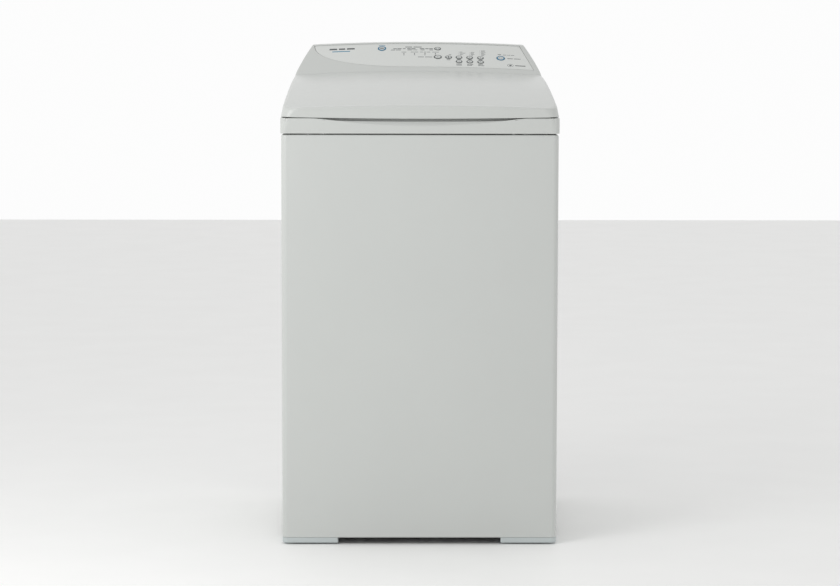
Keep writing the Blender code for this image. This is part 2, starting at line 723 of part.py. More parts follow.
def add_hinge_ear(deck, side):
    """An upright on the deck that carries one of the lid's pins."""
    x0 = side * (ear_x() - HINGE_EAR / 2)
    x1 = side * (ear_x() + HINGE_EAR / 2)
    half = HINGE_EAR_RADIUS
    foot = LID_LINE - DISH_DROP - 0.0015
    side_view = [(HINGE_Y - EAR_LEAN, foot)]
    for angle in np.radians(np.linspace(-40, 180, 10)):
        side_view.append((HINGE_Y + half * math.cos(angle), HINGE_Z + half * math.sin(angle)))
    side_view.append((HINGE_Y - half - EAR_LEAN, foot))
    tag = "left" if side < 0 else "right"
    join(
        deck,
        stack(f"hinge_ear_{tag}", [[(x, y, z) for y, z in side_view] for x in (x0, x1)], "shell_plastic"),
    )
    ends = (x0 - side * 0.01, HINGE_Y, HINGE_Z), (x1 + side * 0.01, HINGE_Y, HINGE_Z)
    cut(deck, cylinder(f"ear_hole_{tag}", *ends, HINGE_PIN_RADIUS + RUNNING, "shell_plastic", 16))


def ear_x():
    """Middle of a hinge ear, inside the lid's hanger and side wall."""
    return HALF_W - cheek_inset(HINGE_Z) - LID_WALL - 0.002 - HANGER - 0.0015 - HINGE_EAR / 2


# ---------------------------------------------------------------- lid
def lid_edges(x, y):
    """Heights of the lid's lower edge and of its top at places round its plan."""
    bottom = rail_height(y) + LID_GAP
    bottom[:FRONT_COLUMNS] -= LIP_DROP * (1 - (x[:FRONT_COLUMNS] / HALF_W) ** 2)
    behind = np.clip(y - HINGE_Y, 0, SWING)
    bottom = np.where(y > HINGE_Y, HINGE_Z - np.sqrt(np.clip(SWING**2 - behind**2, 0, None)), bottom)
    top = lid_height(x, y)
    bottom[BACK_COLUMNS] = top[BACK_COLUMNS] - REAR_FLANGE
    return bottom, top


def lid_loops(inside):
    """Loops from the lid's lower edge up its wall and in over its top. inside gives the hidden surface."""
    wall = LID_WALL if inside else 0.0
    edge = 0.0008
    # share of the wall's height, height above that, step in from the outer face, growth of the corners
    rows = [
        (0, 0, edge, 0),
        (0, edge, 0, 0),
        (0.5, 0, 0, 0.006),
        (1, -0.005, 0, 0.012),
        (1, -0.0012, 0.0012, 0.012),
    ]
    if inside:
        rows = [(share, rise - (wall if share == 1 else 0), step, grow) for share, rise, step, grow in rows]
        rows[0] = (0, 0, -edge, 0)
    loops = []
    for share, rise, step, grow in rows:
        radius = DECK_RADIUS + 0.008 + grow
        plan = leaned_outline(0.0, step + wall, radius - wall)
        bottom, top = lid_edges(plan[:, 0], plan[:, 1])
        z = bottom * (1 - share) + top * share + rise
        loops.append(
            np.column_stack([leaned_outline(SIDE_LEAN * (z - LID_LINE), step + wall, radius - wall), z])
        )
    middle_y = (LID_BACK - HALF_D) / 2
    last = loops[-1]
    for share in (0.94, 0.76, 0.48, 0.15):
        plan = np.column_stack([last[:, 0] * share, middle_y + (last[:, 1] - middle_y) * share])
        loops.append(np.column_stack([plan, lid_height(plan[:, 0], plan[:, 1]) - wall]))
    return loops


def leaned_outline(lean, step, radius):
    """Plan of the lid at a lean that changes round it: the sides and front lean in, the back stands upright."""
    full = outline(HALF_W - 0.0005 - step, -HALF_D + step, LID_BACK - step, radius, LID_BACK_RADIUS)
    share_front = np.clip((full[:, 1] + HALF_D) / (LID_BACK + HALF_D), 0, 1)
    x = full[:, 0] * (1 - lean / HALF_W)
    y = full[:, 1] + lean * 0.5 * (1 - share_front)
    return np.column_stack([x, y])


def make_lid():
    """Moulded lid: one shell with a front lip, side skirts and a hanger plate for each hinge pin."""
    lid = stack("lid", lid_loops(False)[::-1] + lid_loops(True), "shell_plastic")
    for side, tag in ((-1, "left"), (1, "right")):
        x0 = side * (ear_x() + HINGE_EAR / 2 + 0.0015)
        x1 = x0 + side * HANGER
        low, high = HINGE_Z - 0.009, float(lid_height(abs(x1), HINGE_Y)) - LID_WALL * 0.5
        x_low, x_high = min(x0, x1), max(x0, x1)
        join(
            lid,
            block(
                f"hanger_{tag}",
                (x_low, HINGE_Y - 0.010, low),
                (x_high, HINGE_Y + 0.010, high),
                "shell_plastic",
            ),
        )
        ends = (x0 - side * 0.004, HINGE_Y, HINGE_Z), (x1 + side * 0.003, HINGE_Y, HINGE_Z)
        cut(lid, cylinder(f"hanger_hole_{tag}", *ends, HINGE_PIN_RADIUS + GAP, "shell_plastic", 16))
        inner = side * (ear_x() - HINGE_EAR / 2 - 0.002)
        outer = x1 + side * 0.0012
        cylinder(
            f"hinge_pin_{tag}",
            (inner, HINGE_Y, HINGE_Z),
            (outer, HINGE_Y, HINGE_Z),
            HINGE_PIN_RADIUS,
            "bearing_steel",
            16,
        )


# ---------------------------------------------------------------- console
def console_section(y, top, shrink, base):
    """Cross-section of the console at a depth: cheeks that lean in with height, and a crowned top."""
    side_top = top - CONSOLE_CROWN
    cheek = NOTCH_Z + (side_top - CHEEK_ROUND - NOTCH_Z) * np.linspace(0, 1, 6)
    heights = np.concatenate([[base], cheek])
    heights = np.maximum.accumulate(np.minimum(heights, side_top - 0.0006))
    for index in range(1, len(heights)):
        heights[index] = max(heights[index], heights[index - 1] + 0.00005)
    right = [(HALF_W - cheek_inset(z) - shrink, z) for z in heights]
    reach = right[-1][0]
    right.append((reach - 0.35 * CHEEK_ROUND, side_top))
    across = (reach - CHEEK_ROUND) * np.linspace(1, -1, 13)
    over = [(x, top - CONSOLE_CROWN * (x / HALF_W) ** 2) for x in across]
    rows = right + over + [(-x, z) for x, z in right[::-1]]
    return [(x, y, z) for x, z in rows]


def make_console():
    """Housing behind the lid: a hollow moulding with a sloping face.

    It has a window for the fascia and a pocket for the lid's back edge.
    """
    front, back = CONSOLE_FRONT, HALF_D
    crest = front + FACE_RUN
    stations = [(y, FACE_FOOT + FACE_SLOPE * (y - front)) for y in np.linspace(front, crest, 6)]
    stations += [(crest + 0.005, HEIGHT - 0.0007), (crest + 0.012, HEIGHT), (back - 0.010, HEIGHT - 0.0003)]
    stations += [(back - 0.004, HEIGHT - 0.0022), (back, HEIGHT - 0.0075)]
    housing = stack(
        "console_housing",
        [console_section(y, top, 0, CONSOLE_BASE) for y, top in stations],
        "shell_plastic",
    )
    wall = CONSOLE_WALL
    start, end = POCKET_BACK + 0.003, back - wall
    drop = wall * math.hypot(1, FACE_SLOPE)
    hollow = [
        (y, FACE_FOOT + FACE_SLOPE * (y - front) - drop) for y in np.linspace(start, crest - 0.003, 5)
    ]
    hollow.append((end, HEIGHT - wall - 0.001))
    cut(
        housing,
        stack(
            "console_hollow",
            [console_section(y, top, wall, CONSOLE_BASE - 0.01) for y, top in hollow],
            "shell_plastic",
        ),
    )
    half = HALF_W - cheek_inset(NOTCH_Z) - CONSOLE_WALL - 0.001
    across = np.linspace(half, -half, 13)
    roof = [(x, FACE_FOOT - 0.003 - CONSOLE_CROWN * (x / HALF_W) ** 2) for x in across]
    section = [(-half, CONSOLE_BASE - 0.01), (half, CONSOLE_BASE - 0.01), *roof]
    cut(
        housing,
        stack(
            "lid_pocket",
            [[(x, y, z) for x, z in section] for y in (front - 0.01, POCKET_BACK)],
            "shell_plastic",
        ),
    )
    cut(housing, fascia_solid("fascia_recess", -0.0004, FASCIA_THICKNESS + GAP, 0.003))
    cut(housing, fascia_solid("fascia_window", FASCIA_LEDGE, 0.012, 0.003))


def fascia_solid(name, inset, depth, proud):
    """A plate that follows the console's face: bowed at the left, cut straight along the other edges."""
    turns = np.radians(np.linspace(90, 0, 10))
    power = 2 / FASCIA_ROUNDNESS
    low, high = FASCIA_LOW + inset, FASCIA_HIGH - inset
    up = high - (high - low) * np.sin(turns) ** power
    left = -(FASCIA_LEFT - inset * 1.4) * np.clip(np.cos(turns), 0, 1) ** power
    slant = (FASCIA_RIGHT_LOW - FASCIA_RIGHT_HIGH) / (FASCIA_HIGH - FASCIA_LOW)
    right = FASCIA_RIGHT_LOW - inset - slant * (up - FASCIA_LOW)
    edge = [(x, v) for x, v in zip(left, up)]
    edge += [(x, high) for x in np.linspace(left[-1], right[-1], 13)[1:]]
    edge += [(right[0], low)]
    edge += [(x, low) for x in np.linspace(right[0], left[0], 8)[1:-1]]
    loops = []
    for offset in (-depth, proud):
        rows = [np.array(point + normal * offset) for point, normal in (face_frame(x, v) for x, v in edge)]
        loops.append(rows)
    return fascia_skin(name, loops)


def fascia_skin(name, loops):
    """Closes the plate's two outlines with strips that run across it, so that both faces keep the crown."""
    lower, upper = np.array(loops[0]), np.array(loops[1])
    count = len(lower)
    faces = [(i, (i + 1) % count, (i + 1) % count + count, i + count) for i in range(count)]
    work = bmesh.new()
    points = [work.verts.new(p) for p in np.vstack([lower, upper])]
    for face in faces:
        work.faces.new([points[i] for i in face])
    for start in (0, count):
        ring = [points[start + i] for i in range(count)]
        cap = work.faces.new(ring)
        bmesh.ops.triangulate(work, faces=[cap], quad_method="BEAUTY", ngon_method="BEAUTY")
    mesh_points = [v.co.copy() for v in work.verts]
    work.verts.index_update()
    mesh_faces = [tuple(v.index for v in f.verts) for f in work.faces]
    work.free()
    return solid(name, mesh_points, mesh_faces, "fascia_grey")


def make_fascia():
    """The control panel, with a hole for each button."""
    panel = fascia_solid("fascia_panel", 0, FASCIA_THICKNESS, 0)
    for name, (across, up, half_wide, half_tall) in BUTTONS.items():
        rings = [(-0.02, BUTTON_CLEARANCE), (0.02, BUTTON_CLEARANCE)]
        cut(panel, oval(f"{name}_hole", across, up, half_wide, half_tall, rings, "fascia_grey"))
        lower = -FASCIA_THICKNESS - 0.0006
        rings = [
            (lower - 0.0015, BUTTON_FLANGE),
            (lower, BUTTON_FLANGE),
            (lower + 0.0001, 0),
            (BUTTON_PROUD - 0.0005, 0),
            (BUTTON_PROUD, -0.0006),
        ]
        finish = "button_blue" if name in ("power_button", "start_button") else "button_grey"
        oval(name, across, up, half_wide, half_tall, rings, finish)


def oval(name, across, up, half_wide, half_tall, rings, finish):
    """Oval rings stood on the console's face. Each ring is (height above the face, growth of the oval)."""
    point, normal = face_frame(across, up)
    side = Vector((1, 0, 0))
    side = (side - normal * side.dot(normal)).normalized()
    rise = normal.cross(side)
    loops = []
    for height, grow in rings:
        row = []
        for angle in np.linspace(0, 2 * math.pi, 12, endpoint=False):
            shift = side * ((half_wide + grow) * math.cos(angle)) + rise * (
                (half_tall + grow) * math.sin(angle)
            )
            row.append(point + normal * height + shift)
        loops.append(row)
    return stack(name, loops, finish)


def make_electronics():
    """Control module inside the console, and the lid lock under the deck."""
    low = CONSOLE_BASE + 0.004
    corner = (0.165, HALF_D - CONSOLE_WALL - 0.014, NOTCH_Z + 0.006)
    block("control_module", (-0.110, POCKET_BACK + 0.016, low), corner, "module_black")
    lock_top = LID_LINE - DISH_DROP - DECK_WALL - 0.0015
    lock_x = HALF_W - RIM_LEDGE - 0.012
    block(
        "lid_lock", (lock_x - 0.026, -0.110, lock_top - 0.024), (lock_x, -0.050, lock_top), "module_black"
    )


# ---------------------------------------------------------------- tub and basket
def make_tub():
    """Outer tub with its bearing hub, and four ears that hang on the suspension rods."""
    seat = BEARING_RADIUS + GAP
    shoulder = BEARING_RADIUS - 0.004
    low_seat, high_seat = HUB_BASE + 0.018, HUB_TOP - 0.0295
    profile = [
        (seat, HUB_BASE),
        (HUB_RADIUS, HUB_BASE),
        (HUB_RADIUS, TUB_FLOOR),
        (TUB_OUTER - 0.020, TUB_FLOOR),
        (TUB_OUTER - 0.006, TUB_FLOOR + 0.006),
        (TUB_OUTER, TUB_FLOOR + 0.020),
        (TUB_OUTER, TUB_TOP),
        (TUB_INNER, TUB_TOP),
        (TUB_INNER, TUB_FLOOR + 0.021),
        (TUB_INNER - 0.006, TUB_FLOOR + 0.010),
        (TUB_INNER - 0.018, TUB_FLOOR + 0.0045),
        (HUB_RADIUS, TUB_FLOOR + 0.0045),
        (HUB_RADIUS, HUB_TOP),
        (seat, HUB_TOP),
        (seat, high_seat),
        (shoulder, high_seat),
        (shoulder, low_seat),
        (seat, low_seat),
    ]
    tub = turned("outer_tub", profile, "tub_plastic")
    reach = math.hypot(ROD_X, ROD_Y)
    for side_x, side_y, tag in CORNERS:
        heading = math.atan2(side_y * ROD_Y, side_x * ROD_X)
        turn = Matrix.Rotation(heading, 4, "Z")
        ear = block(
            f"ear_{tag}",
            (TUB_OUTER - 0.0015, -EAR_WIDTH / 2, EAR_Z),
            (reach + 0.016, EAR_WIDTH / 2, EAR_Z + EAR_THICKNESS),
            "tub_plastic",
        )
        ear.data.transform(turn)
        join(tub, ear)
        rib = block(
            f"rib_{tag}",
            (TUB_OUTER - 0.0015, -0.002, EAR_Z + 0.006),
            (reach - 0.018, 0.002, EAR_Z + 0.060),
            "tub_plastic",
        )
        rib.data.transform(turn)
        join(tub, rib)
        place = (side_x * ROD_X, side_y * ROD_Y)
        hole = cylinder(
            f"ear_rod_hole_{tag}",
            (*place, EAR_Z - 0.01),
            (*place, EAR_Z + 0.03),
            ROD_RADIUS + ROD_CLEARANCE,
            "tub_plastic",
            12,
        )
        cut(tub, hole)
    ring = [
        (TUB_OUTER + GAP, TUB_TOP - 0.010),
        (TUB_OUTER + 0.0035, TUB_TOP - 0.010),
        (TUB_OUTER + 0.0035, TUB_TOP + 0.006),
        (BALANCE_INNER + 0.017, RING_TOP),
        (BALANCE_INNER + 0.014, RING_TOP),
        (BALANCE_INNER + 0.014, RING_TOP - 0.0025),
        (TUB_OUTER + GAP, TUB_TOP + 0.001),
    ]
    turned("tub_ring", ring, "tub_plastic")
    race = SHAFT_RADIUS + GAP
    for name, low in (("lower_bearing", HUB_BASE + 0.002), ("upper_bearing", high_seat + GAP)):
        turned(
            name,
            [
                (race, low),
                (BEARING_RADIUS, low),
                (BEARING_RADIUS, low + BEARING_HEIGHT),
                (race, low + BEARING_HEIGHT),
            ],
            "bearing_steel",
            segments=SMALL_TURN,
        )
    low = high_seat + 2 * GAP + BEARING_HEIGHT
    turned(
        "shaft_seal",
        [
            (race, low),
            (BEARING_RADIUS, low),
            (BEARING_RADIUS, low + SEAL_HEIGHT),
            (race, low + SEAL_HEIGHT - 0.003),
        ],
        "rubber_black",
        segments=SMALL_TURN,
    )


def make_drive():
    """Motor under the tub: stator, rotor and the shaft that carries the agitator."""
    stator_low = TUB_FLOOR - 0.019 - STATOR_HEIGHT
    stator_high = stator_low + STATOR_HEIGHT
    angles, radii = [], []
    pitch = 2 * math.pi / STATOR_POLES
    for pole in range(STATOR_POLES):
        for share, radius in (
            (-0.36, STATOR_OUTER),
            (0.36, STATOR_OUTER),
            (0.39, STATOR_OUTER - 0.030),
            (0.61, STATOR_OUTER - 0.030),
        ):
            angles.append((pole + share) * pitch)
            radii.append(radius)
    angles, radii = np.array(angles), np.array(radii)

    def star(radius, z):
        return np.column_stack([radius * np.cos(angles), radius * np.sin(angles), np.full(len(angles), z)])

    loops = [
        star(radii, stator_low),
        star(radii, stator_high),
        star(STATOR_INNER, stator_high),
        star(STATOR_INNER, stator_low),
    ]
    stack("stator", loops, "winding_copper", closed=True)

    disc = stator_low - 0.0255
    bore = SHAFT_RADIUS + GAP
    rim = STATOR_OUTER + 0.0045
    profile = [
        (bore, disc),
        (rim, disc),
        (rim + ROTOR_WALL, disc + 0.010),
        (rim + ROTOR_WALL, stator_high + 0.004),
        (rim, stator_high + 0.004),
        (rim, disc + 0.013),
        (rim - 0.006, disc + 0.0065),
        (0.026, disc + 0.0065),
        (0.026, HUB_BASE - 0.006),
        (bore, HUB_BASE - 0.006),
    ]
    turned("rotor", profile, "module_black")
    spline_top = WEB_Z + 0.078
    shaft = [
        (0, disc - 0.0115),
        (SHAFT_RADIUS - 0.003, disc - 0.0115),
        (SHAFT_RADIUS - 0.003, disc - 0.0001),
        (SHAFT_RADIUS, disc + 0.001),
        (SHAFT_RADIUS, spline_top),
        (SHAFT_RADIUS - 0.005, spline_top),
        (SHAFT_RADIUS - 0.005, spline_top + 0.020),
        (0, spline_top + 0.020),
    ]
    turned("drive_shaft", shaft, "bearing_steel", segments=SMALL_TURN)


def make_basket():
    """Spin basket: steel wall, moulded base, balance ring, and the bush on which the basket floats up."""
    rim_low = BASKET_FLOOR + 0.006
    wall = [
        (BASKET_INNER, rim_low),
        (BASKET_OUTER, rim_low),
        (BASKET_OUTER, BALANCE_BASE - GAP),
        (BASKET_INNER, BALANCE_BASE - GAP),
    ]
    turned("basket_wall", wall, "drum_steel")
    edge = BASKET_INNER - 0.0007
    hub_bore = BUSH_OUTER + GAP
    step_up = HUB_TOP + 0.0035
    base = [
        (hub_bore, step_up),
        (HUB_RADIUS + 0.004, step_up),
        (HUB_RADIUS + 0.012, BASKET_FLOOR),
        (edge - 0.006, BASKET_FLOOR),
        (edge, BASKET_FLOOR + 0.006),
        (edge, BASKET_FLOOR + 0.036),
        (edge - 0.003, BASKET_FLOOR + 0.036),
        (edge - 0.004, BASKET_FLOOR + 0.010),
        (HUB_RADIUS + 0.015, BASKET_FLOOR + 0.005),
        (HUB_RADIUS + 0.008, step_up + 0.0035),
        (hub_bore + 0.009, step_up + 0.0055),
        (hub_bore + 0.009, step_up + 0.088),
        (hub_bore, step_up + 0.088),
    ]
    turned("basket_base", base, "tub_plastic")
    low, high = BALANCE_BASE, BALANCE_TOP
    ring = [
        (BALANCE_INNER + 0.003, low),
        (BASKET_OUTER, low),
        (BALANCE_OUTER, low + 0.006),
        (BALANCE_OUTER, high - 0.004),
        (BALANCE_OUTER - 0.004, high),
        (BALANCE_INNER + 0.006, high),
        (BALANCE_INNER, high - 0.006),
        (BALANCE_INNER, low + 0.003),
    ]
    turned("balance_ring", ring, "tub_plastic")
    bore = SHAFT_RADIUS + RUNNING
    bush = [
        (bore, step_up + 0.001),
        (BUSH_OUTER, step_up + 0.001),
        (BUSH_OUTER, step_up + 0.086),
        (bore, step_up + 0.086),
    ]
    turned("float_bush", bush, "bearing_steel", segments=SMALL_TURN)


def agitator_profile():
    """Outer line of the agitator, from the skirt's edge up to the top of the post."""
    low, web = AGITATOR_BASE, WEB_Z
    post, skirt = AGITATOR_POST, AGITATOR_SKIRT
    return [
        (skirt - 0.0015, low),
        (skirt, low + 0.0045),
        (skirt - 0.0275, low + 0.018),
        (skirt - 0.067, low + 0.036),
        (skirt - 0.095, low + 0.066),
        (post + 0.009, web + 0.028),
        (post, web + 0.130),
        (post - 0.003, AGITATOR_TOP - 0.040),
        (post + 0.002, AGITATOR_TOP - 0.004),
        (post + 0.002, AGITATOR_TOP),
    ]


def make_agitator():
    """Hollow agitator on the shaft's spline, with four vanes, and the softener cup that lifts out of it."""
    outer = agitator_profile()
    wall, low = AGITATOR_WALL, AGITATOR_BASE
    post, skirt = AGITATOR_POST, AGITATOR_SKIRT
    bore = SHAFT_RADIUS + GAP
    inner = [
        (post - 0.0015, AGITATOR_TOP),
        (post - 0.0065, AGITATOR_TOP - 0.040),
        (post - 0.0035, WEB_Z + 0.130),
        (post + 0.003, WEB_Z + 0.034),
        (bore + 0.011, WEB_Z + 0.034),
        (bore + 0.011, WEB_Z + 0.076),
        (bore, WEB_Z + 0.076),
        (bore, WEB_Z),
        (post + 0.0075, WEB_Z),
        (skirt - 0.095 - wall, low + 0.064),
        (skirt - 0.068 - 0.5 * wall, low + 0.036 - wall),
        (skirt - 0.0285, low + 0.018 - wall),
        (skirt - 0.0045, low),
    ]
    agitator = turned("agitator", outer + inner, "agitator_plastic")
    sunk = [(r - 0.0015, z - 0.0004) for r, z in outer[1:8]]
    reach = [
        (post + 0.008, AGITATOR_TOP - 0.075),
        (post + 0.022, WEB_Z + 0.090),
        (post + 0.036, WEB_Z + 0.010),
        (skirt - 0.030, low + 0.050),
        (skirt - 0.006, low + 0.012),
    ]
    side_view = sunk + reach
    for index in range(4):
        half = VANE_THICKNESS / 2
        vane = stack(
            f"vane_{index}", [[(r, y, z) for r, z in side_view] for y in (-half, half)], "agitator_plastic"
        )
        vane.data.transform(Matrix.Rotation(math.radians(45 + 90 * index), 4, "Z"))
        join(agitator, vane)
    rim = AGITATOR_TOP + 0.0006
    cup = [
        (0, AGITATOR_TOP - 0.052),
        (post - 0.014, AGITATOR_TOP - 0.052),
        (post - 0.0095, AGITATOR_TOP - 0.040),
        (post - 0.0045, rim),
        (post + 0.006, rim),
        (post + 0.008, rim + 0.010),
        (post + 0.004, rim + 0.024),
        (post - 0.001, rim + 0.027),
        (post - 0.012, rim + 0.027),
        (post - 0.012, rim + 0.024),
        (post - 0.007, rim + 0.010),
        (post - 0.0125, AGITATOR_TOP - 0.040),
        (post - 0.0165, AGITATOR_TOP - 0.049),
        (0, AGITATOR_TOP - 0.049),
    ]
    turned("softener_cup", cup, "agitator_plastic", segments=32)


# ---------------------------------------------------------------- suspension
CORNERS = ((-1, -1, "front_left"), (1, -1, "front_right"), (-1, 1, "rear_left"), (1, 1, "rear_right"))


def make_suspension():
    """Four rods hung from the top frame, each with a spring that carries one ear of the tub."""
    for side_x, side_y, tag in CORNERS:
        place = (side_x * ROD_X, side_y * ROD_Y)
        head = FRAME_TOP + GAP
        profile = [
            (0, ROD_FOOT),
            (ROD_CUP_RADIUS, ROD_FOOT),
            (ROD_CUP_RADIUS, ROD_FOOT + 0.008),
            (ROD_RADIUS, ROD_FOOT + 0.008),
            (ROD_RADIUS, head),
            (ROD_HEAD_RADIUS, head),
            (ROD_HEAD_RADIUS, head + 0.005),
            (ROD_HEAD_RADIUS - 0.004, head + 0.009),
            (0, head + 0.009),
        ]
        turned(f"suspension_rod_{tag}", profile, "zinc_steel", at=place, segments=12)
        make_spring(f"suspension_spring_{tag}", place)


def make_spring(name, place):
    """A coil spring of round wire, with a full turn in every pitch."""
    low = ROD_FOOT + 0.008 + GAP + SPRING_WIRE
    rise = SPRING_LENGTH - 2 * SPRING_WIRE
    steps = SPRING_TURNS * 8
    share = np.linspace(0, 1, steps + 1)
    angle = 2 * math.pi * SPRING_TURNS * share
    spine = np.column_stack(
        [
            place[0] + SPRING_RADIUS * np.cos(angle),
            place[1] + SPRING_RADIUS * np.sin(angle),
            low + rise * share,
        ],
    )
    out = np.column_stack([np.cos(angle), np.sin(angle), np.zeros(len(angle))])
    up = np.array([0, 0, 1.0])
    turns = np.linspace(0, 2 * math.pi, 5, endpoint=False)
    loops = [
        [p + SPRING_WIRE * (math.cos(t) * o + math.sin(t) * up) for t in turns] for p, o in zip(spine, out)
    ]
    stack(name, loops, "zinc_steel")


# ---------------------------------------------------------------- water
def make_pump():
    """Drain pump under the tub: a volute with its motor can below, and the impeller on its own shaft."""
    top = TUB_FLOOR - 0.005
    floor = top - 0.046
    can = 0.026
    profile = [
        (0.0043, floor - 0.054),
        (can, floor - 0.054),
        (can, floor - 0.006),
        (PUMP_RADIUS, floor - 0.004),
        (PUMP_RADIUS, top),
        (PUMP_RADIUS - 0.0035, top),
        (PUMP_RADIUS - 0.0035, floor),
        (0.0043, floor),
    ]
    at = (PUMP_X, PUMP_Y)
    housing = turned("pump_housing", profile, "tub_plastic", at=at, segments=SMALL_TURN)
    level = floor + 0.022
    start, end = pump_spigot(level)
    join(housing, cylinder("pump_spigot", start, end, HOSE_RADIUS, "tub_plastic", 16))
    inward = Vector(start) + (Vector(start) - Vector(end)).normalized() * 0.012
    cut(
        housing,
        cylinder(
            "pump_spigot_bore",
            inward,
            Vector(end) * 2 - Vector(start),
            HOSE_RADIUS - 0.0025,
            "tub_plastic",
            16,
        ),
    )
    wheel = [
        (0, floor - 0.045),
        (0.004, floor - 0.045),
        (0.004, floor + 0.006),
        (0.022, floor + 0.008),
        (0.022, floor + 0.011),
        (0.009, floor + 0.013),
        (0.007, floor + 0.032),
        (0, floor + 0.032),
    ]
    impeller = turned("pump_impeller", wheel, "module_black", at=at, segments=16)
    for index in range(2):
        vane = block(
            f"impeller_vane_{index}",
            (-0.0215, -0.0012, floor + 0.010),
            (0.0215, 0.0012, floor + 0.028),
            "module_black",
        )
        vane.data.transform(
            Matrix.Translation((*at, 0)) @ Matrix.Rotation(math.radians(90 * index), 4, "Z")
        )
        join(impeller, vane)


def pump_spigot(level):
    """Ends of the pump's outlet, which points to the back of the cabinet."""
    start = Vector((PUMP_X, PUMP_Y + PUMP_RADIUS - 0.0025, level))
    return start, start + Vector((0, 0.020, 0))


def make_drain_hose():
    """Hose inside the cabinet from the pump up the back to the drain spigot."""
    level = TUB_FLOOR - 0.029
    _, end = pump_spigot(level)
    back = WRAPPER_HALF_D - SHEET - PANEL_PRESSING - 0.016 - HOSE_RADIUS
    start = end + Vector((0, 4 * GAP, 0))
    top_z = RECESS_MIDDLE
    finish_y = RECESS_WALL_Y - DECK_WALL - 0.014 - GAP
    route = [
        start,
        start + Vector((0, 0.018, 0.000)),
        Vector((PUMP_X - 0.004, back - 0.012, level + 0.016)),
        Vector((PUMP_X - 0.010, back, level + 0.060)),
        Vector((DRAIN_X - 0.005, back, level + 0.200)),
        Vector((DRAIN_X, back, (level + top_z) / 2)),
        Vector((DRAIN_X, back, top_z - 0.140)),
        Vector((DRAIN_X, back - 0.004, top_z - 0.070)),
        Vector((DRAIN_X, finish_y - 0.036, top_z - 0.020)),
        Vector((DRAIN_X, finish_y - 0.020, top_z - 0.002)),
        Vector((DRAIN_X, finish_y, top_z)),
    ]
    curve = bpy.data.curves.new("drain_hose", "CURVE")
    curve.dimensions = "3D"
    curve.bevel_depth = HOSE_RADIUS
    curve.bevel_resolution = 2
    curve.use_fill_caps = True
    points = smooth_route(route, 31)
    spline = curve.splines.new("POLY")
    spline.points.add(len(points) - 1)
    for slot, point in zip(spline.points, points):
        slot.co = (*point, 1)
    curve.materials.append(finish_material("rubber_black"))
    bpy.context.scene.collection.objects.link(bpy.data.objects.new("drain_hose", curve))
    profile = [
        (HOSE_RADIUS - 0.003, 0), (HOSE_RADIUS, 0), (HOSE_RADIUS, 0.0285), (HOSE_RADIUS + 0.001, 0.0300)
    ]
    profile += [(HOSE_RADIUS, 0.0420), (HOSE_RADIUS - 0.003, 0.0420)]
    turned(
        "drain_spigot", profile, "tub_plastic", segments=20, along=along_y(DRAIN_X, finish_y + GAP, top_z)
    )


def smooth_route(route, count):
    """Points along a Catmull-Rom curve through the route."""
    route = [Vector(p) for p in route]
    ends = [route[0] * 2 - route[1]] + route + [route[-1] * 2 - route[-2]]
    made = []
    spans = len(route) - 1
    for step in np.linspace(0, spans, count):
        index = min(int(step), spans - 1)
        t = step - index
        a, b, c, d = ends[index : index + 4]
        made.append(
            0.5 * (
                2 * b + (c - a) * t + (2 * a - 5 * b + 4 * c - d) * t * t + (3 * b - a - 3 * c + d) * t**3
            ),
        )
    return made


def make_valves():
    """Hot and cold inlet valves through the recess, and the gland for the mains lead."""
    wall_y = RECESS_WALL_Y - DECK_WALL
    for name, shift in (("hot", -VALVE_SPREAD / 2), ("cold", VALVE_SPREAD / 2)):
        x, z = VALVE_X + shift, RECESS_MIDDLE
        profile = [
            (0, -0.012),
            (THREAD_RADIUS + 0.004, -0.012),
            (THREAD_RADIUS + 0.004, -GAP),
            (THREAD_RADIUS, -GAP),
            (THREAD_RADIUS, 0.0275),
            (THREAD_RADIUS - 0.0008, 0.0285),
            (THREAD_RADIUS - 0.0035, 0.0285),
            (THREAD_RADIUS - 0.0035, 0.0060),
            (0, 0.0060),
        ]
        valve = turned(
            f"inlet_valve_{name}", profile, "valve_plastic", segments=20, along=along_y(x, wall_y, z)
        )
        body_front = POCKET_BACK + 0.012
        join(
            valve,
            block(
                f"{name}_body",
                (x - 0.015, body_front, z - 0.014),
                (x + 0.015, wall_y - 0.010, z + 0.016),
                "valve_plastic",
            ),
        )
        join(
            valve,
            cylinder(
                f"{name}_coil",
                (x, body_front + 0.022, z - 0.030),
                (x, body_front + 0.022, z - 0.010),
                0.0125,
                "valve_plastic",
                16,
            ),
        )
        nozzle_z = z + 0.008
        join(
            valve,
            cylinder(
                f"{name}_nozzle",
                (x, POCKET_BACK - 0.010, nozzle_z),
                (x, body_front + 0.004, nozzle_z),
                NOZZLE_RADIUS,
                "valve_plastic",
                16,
            ),
        )
    gland = [
        (0.0035, -0.010),
        (0.0060, -0.010),
        (0.0060, DECK_WALL + GAP),
        (0.0110, DECK_WALL + GAP),
        (0.0110, DECK_WALL + 0.004),
        (0.0070, DECK_WALL + 0.010),
        (0.0035, DECK_WALL + 0.010),
    ]
    turned("cord_gland", gland, "module_black", segments=16, along=along_y(GLAND_X, wall_y, RECESS_MIDDLE))


def main():
    clear_scene()
    make_wrapper()
    make_rear_panel()
    make_top_frame()
    make_base_frame()
    for side_x, side_y, tag in CORNERS:
        make_corner(tag, side_x, side_y)
    make_deck()
    make_lid()
    make_console()
    make_fascia()
    make_electronics()
    make_tub()
    make_drive()
    make_basket()
    make_agitator()
    make_suspension()
    make_pump()
    make_drain_hose()
    make_valves()


main()
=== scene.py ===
"""The finished look of a narrow top-load washing machine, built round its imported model.

Metres, +Z up, the front faces -Y. Every shape is a grid of points worked out in whole arrays.
"""

import math

import bmesh
import bpy
import numpy as np
from mathutils import Matrix, Vector


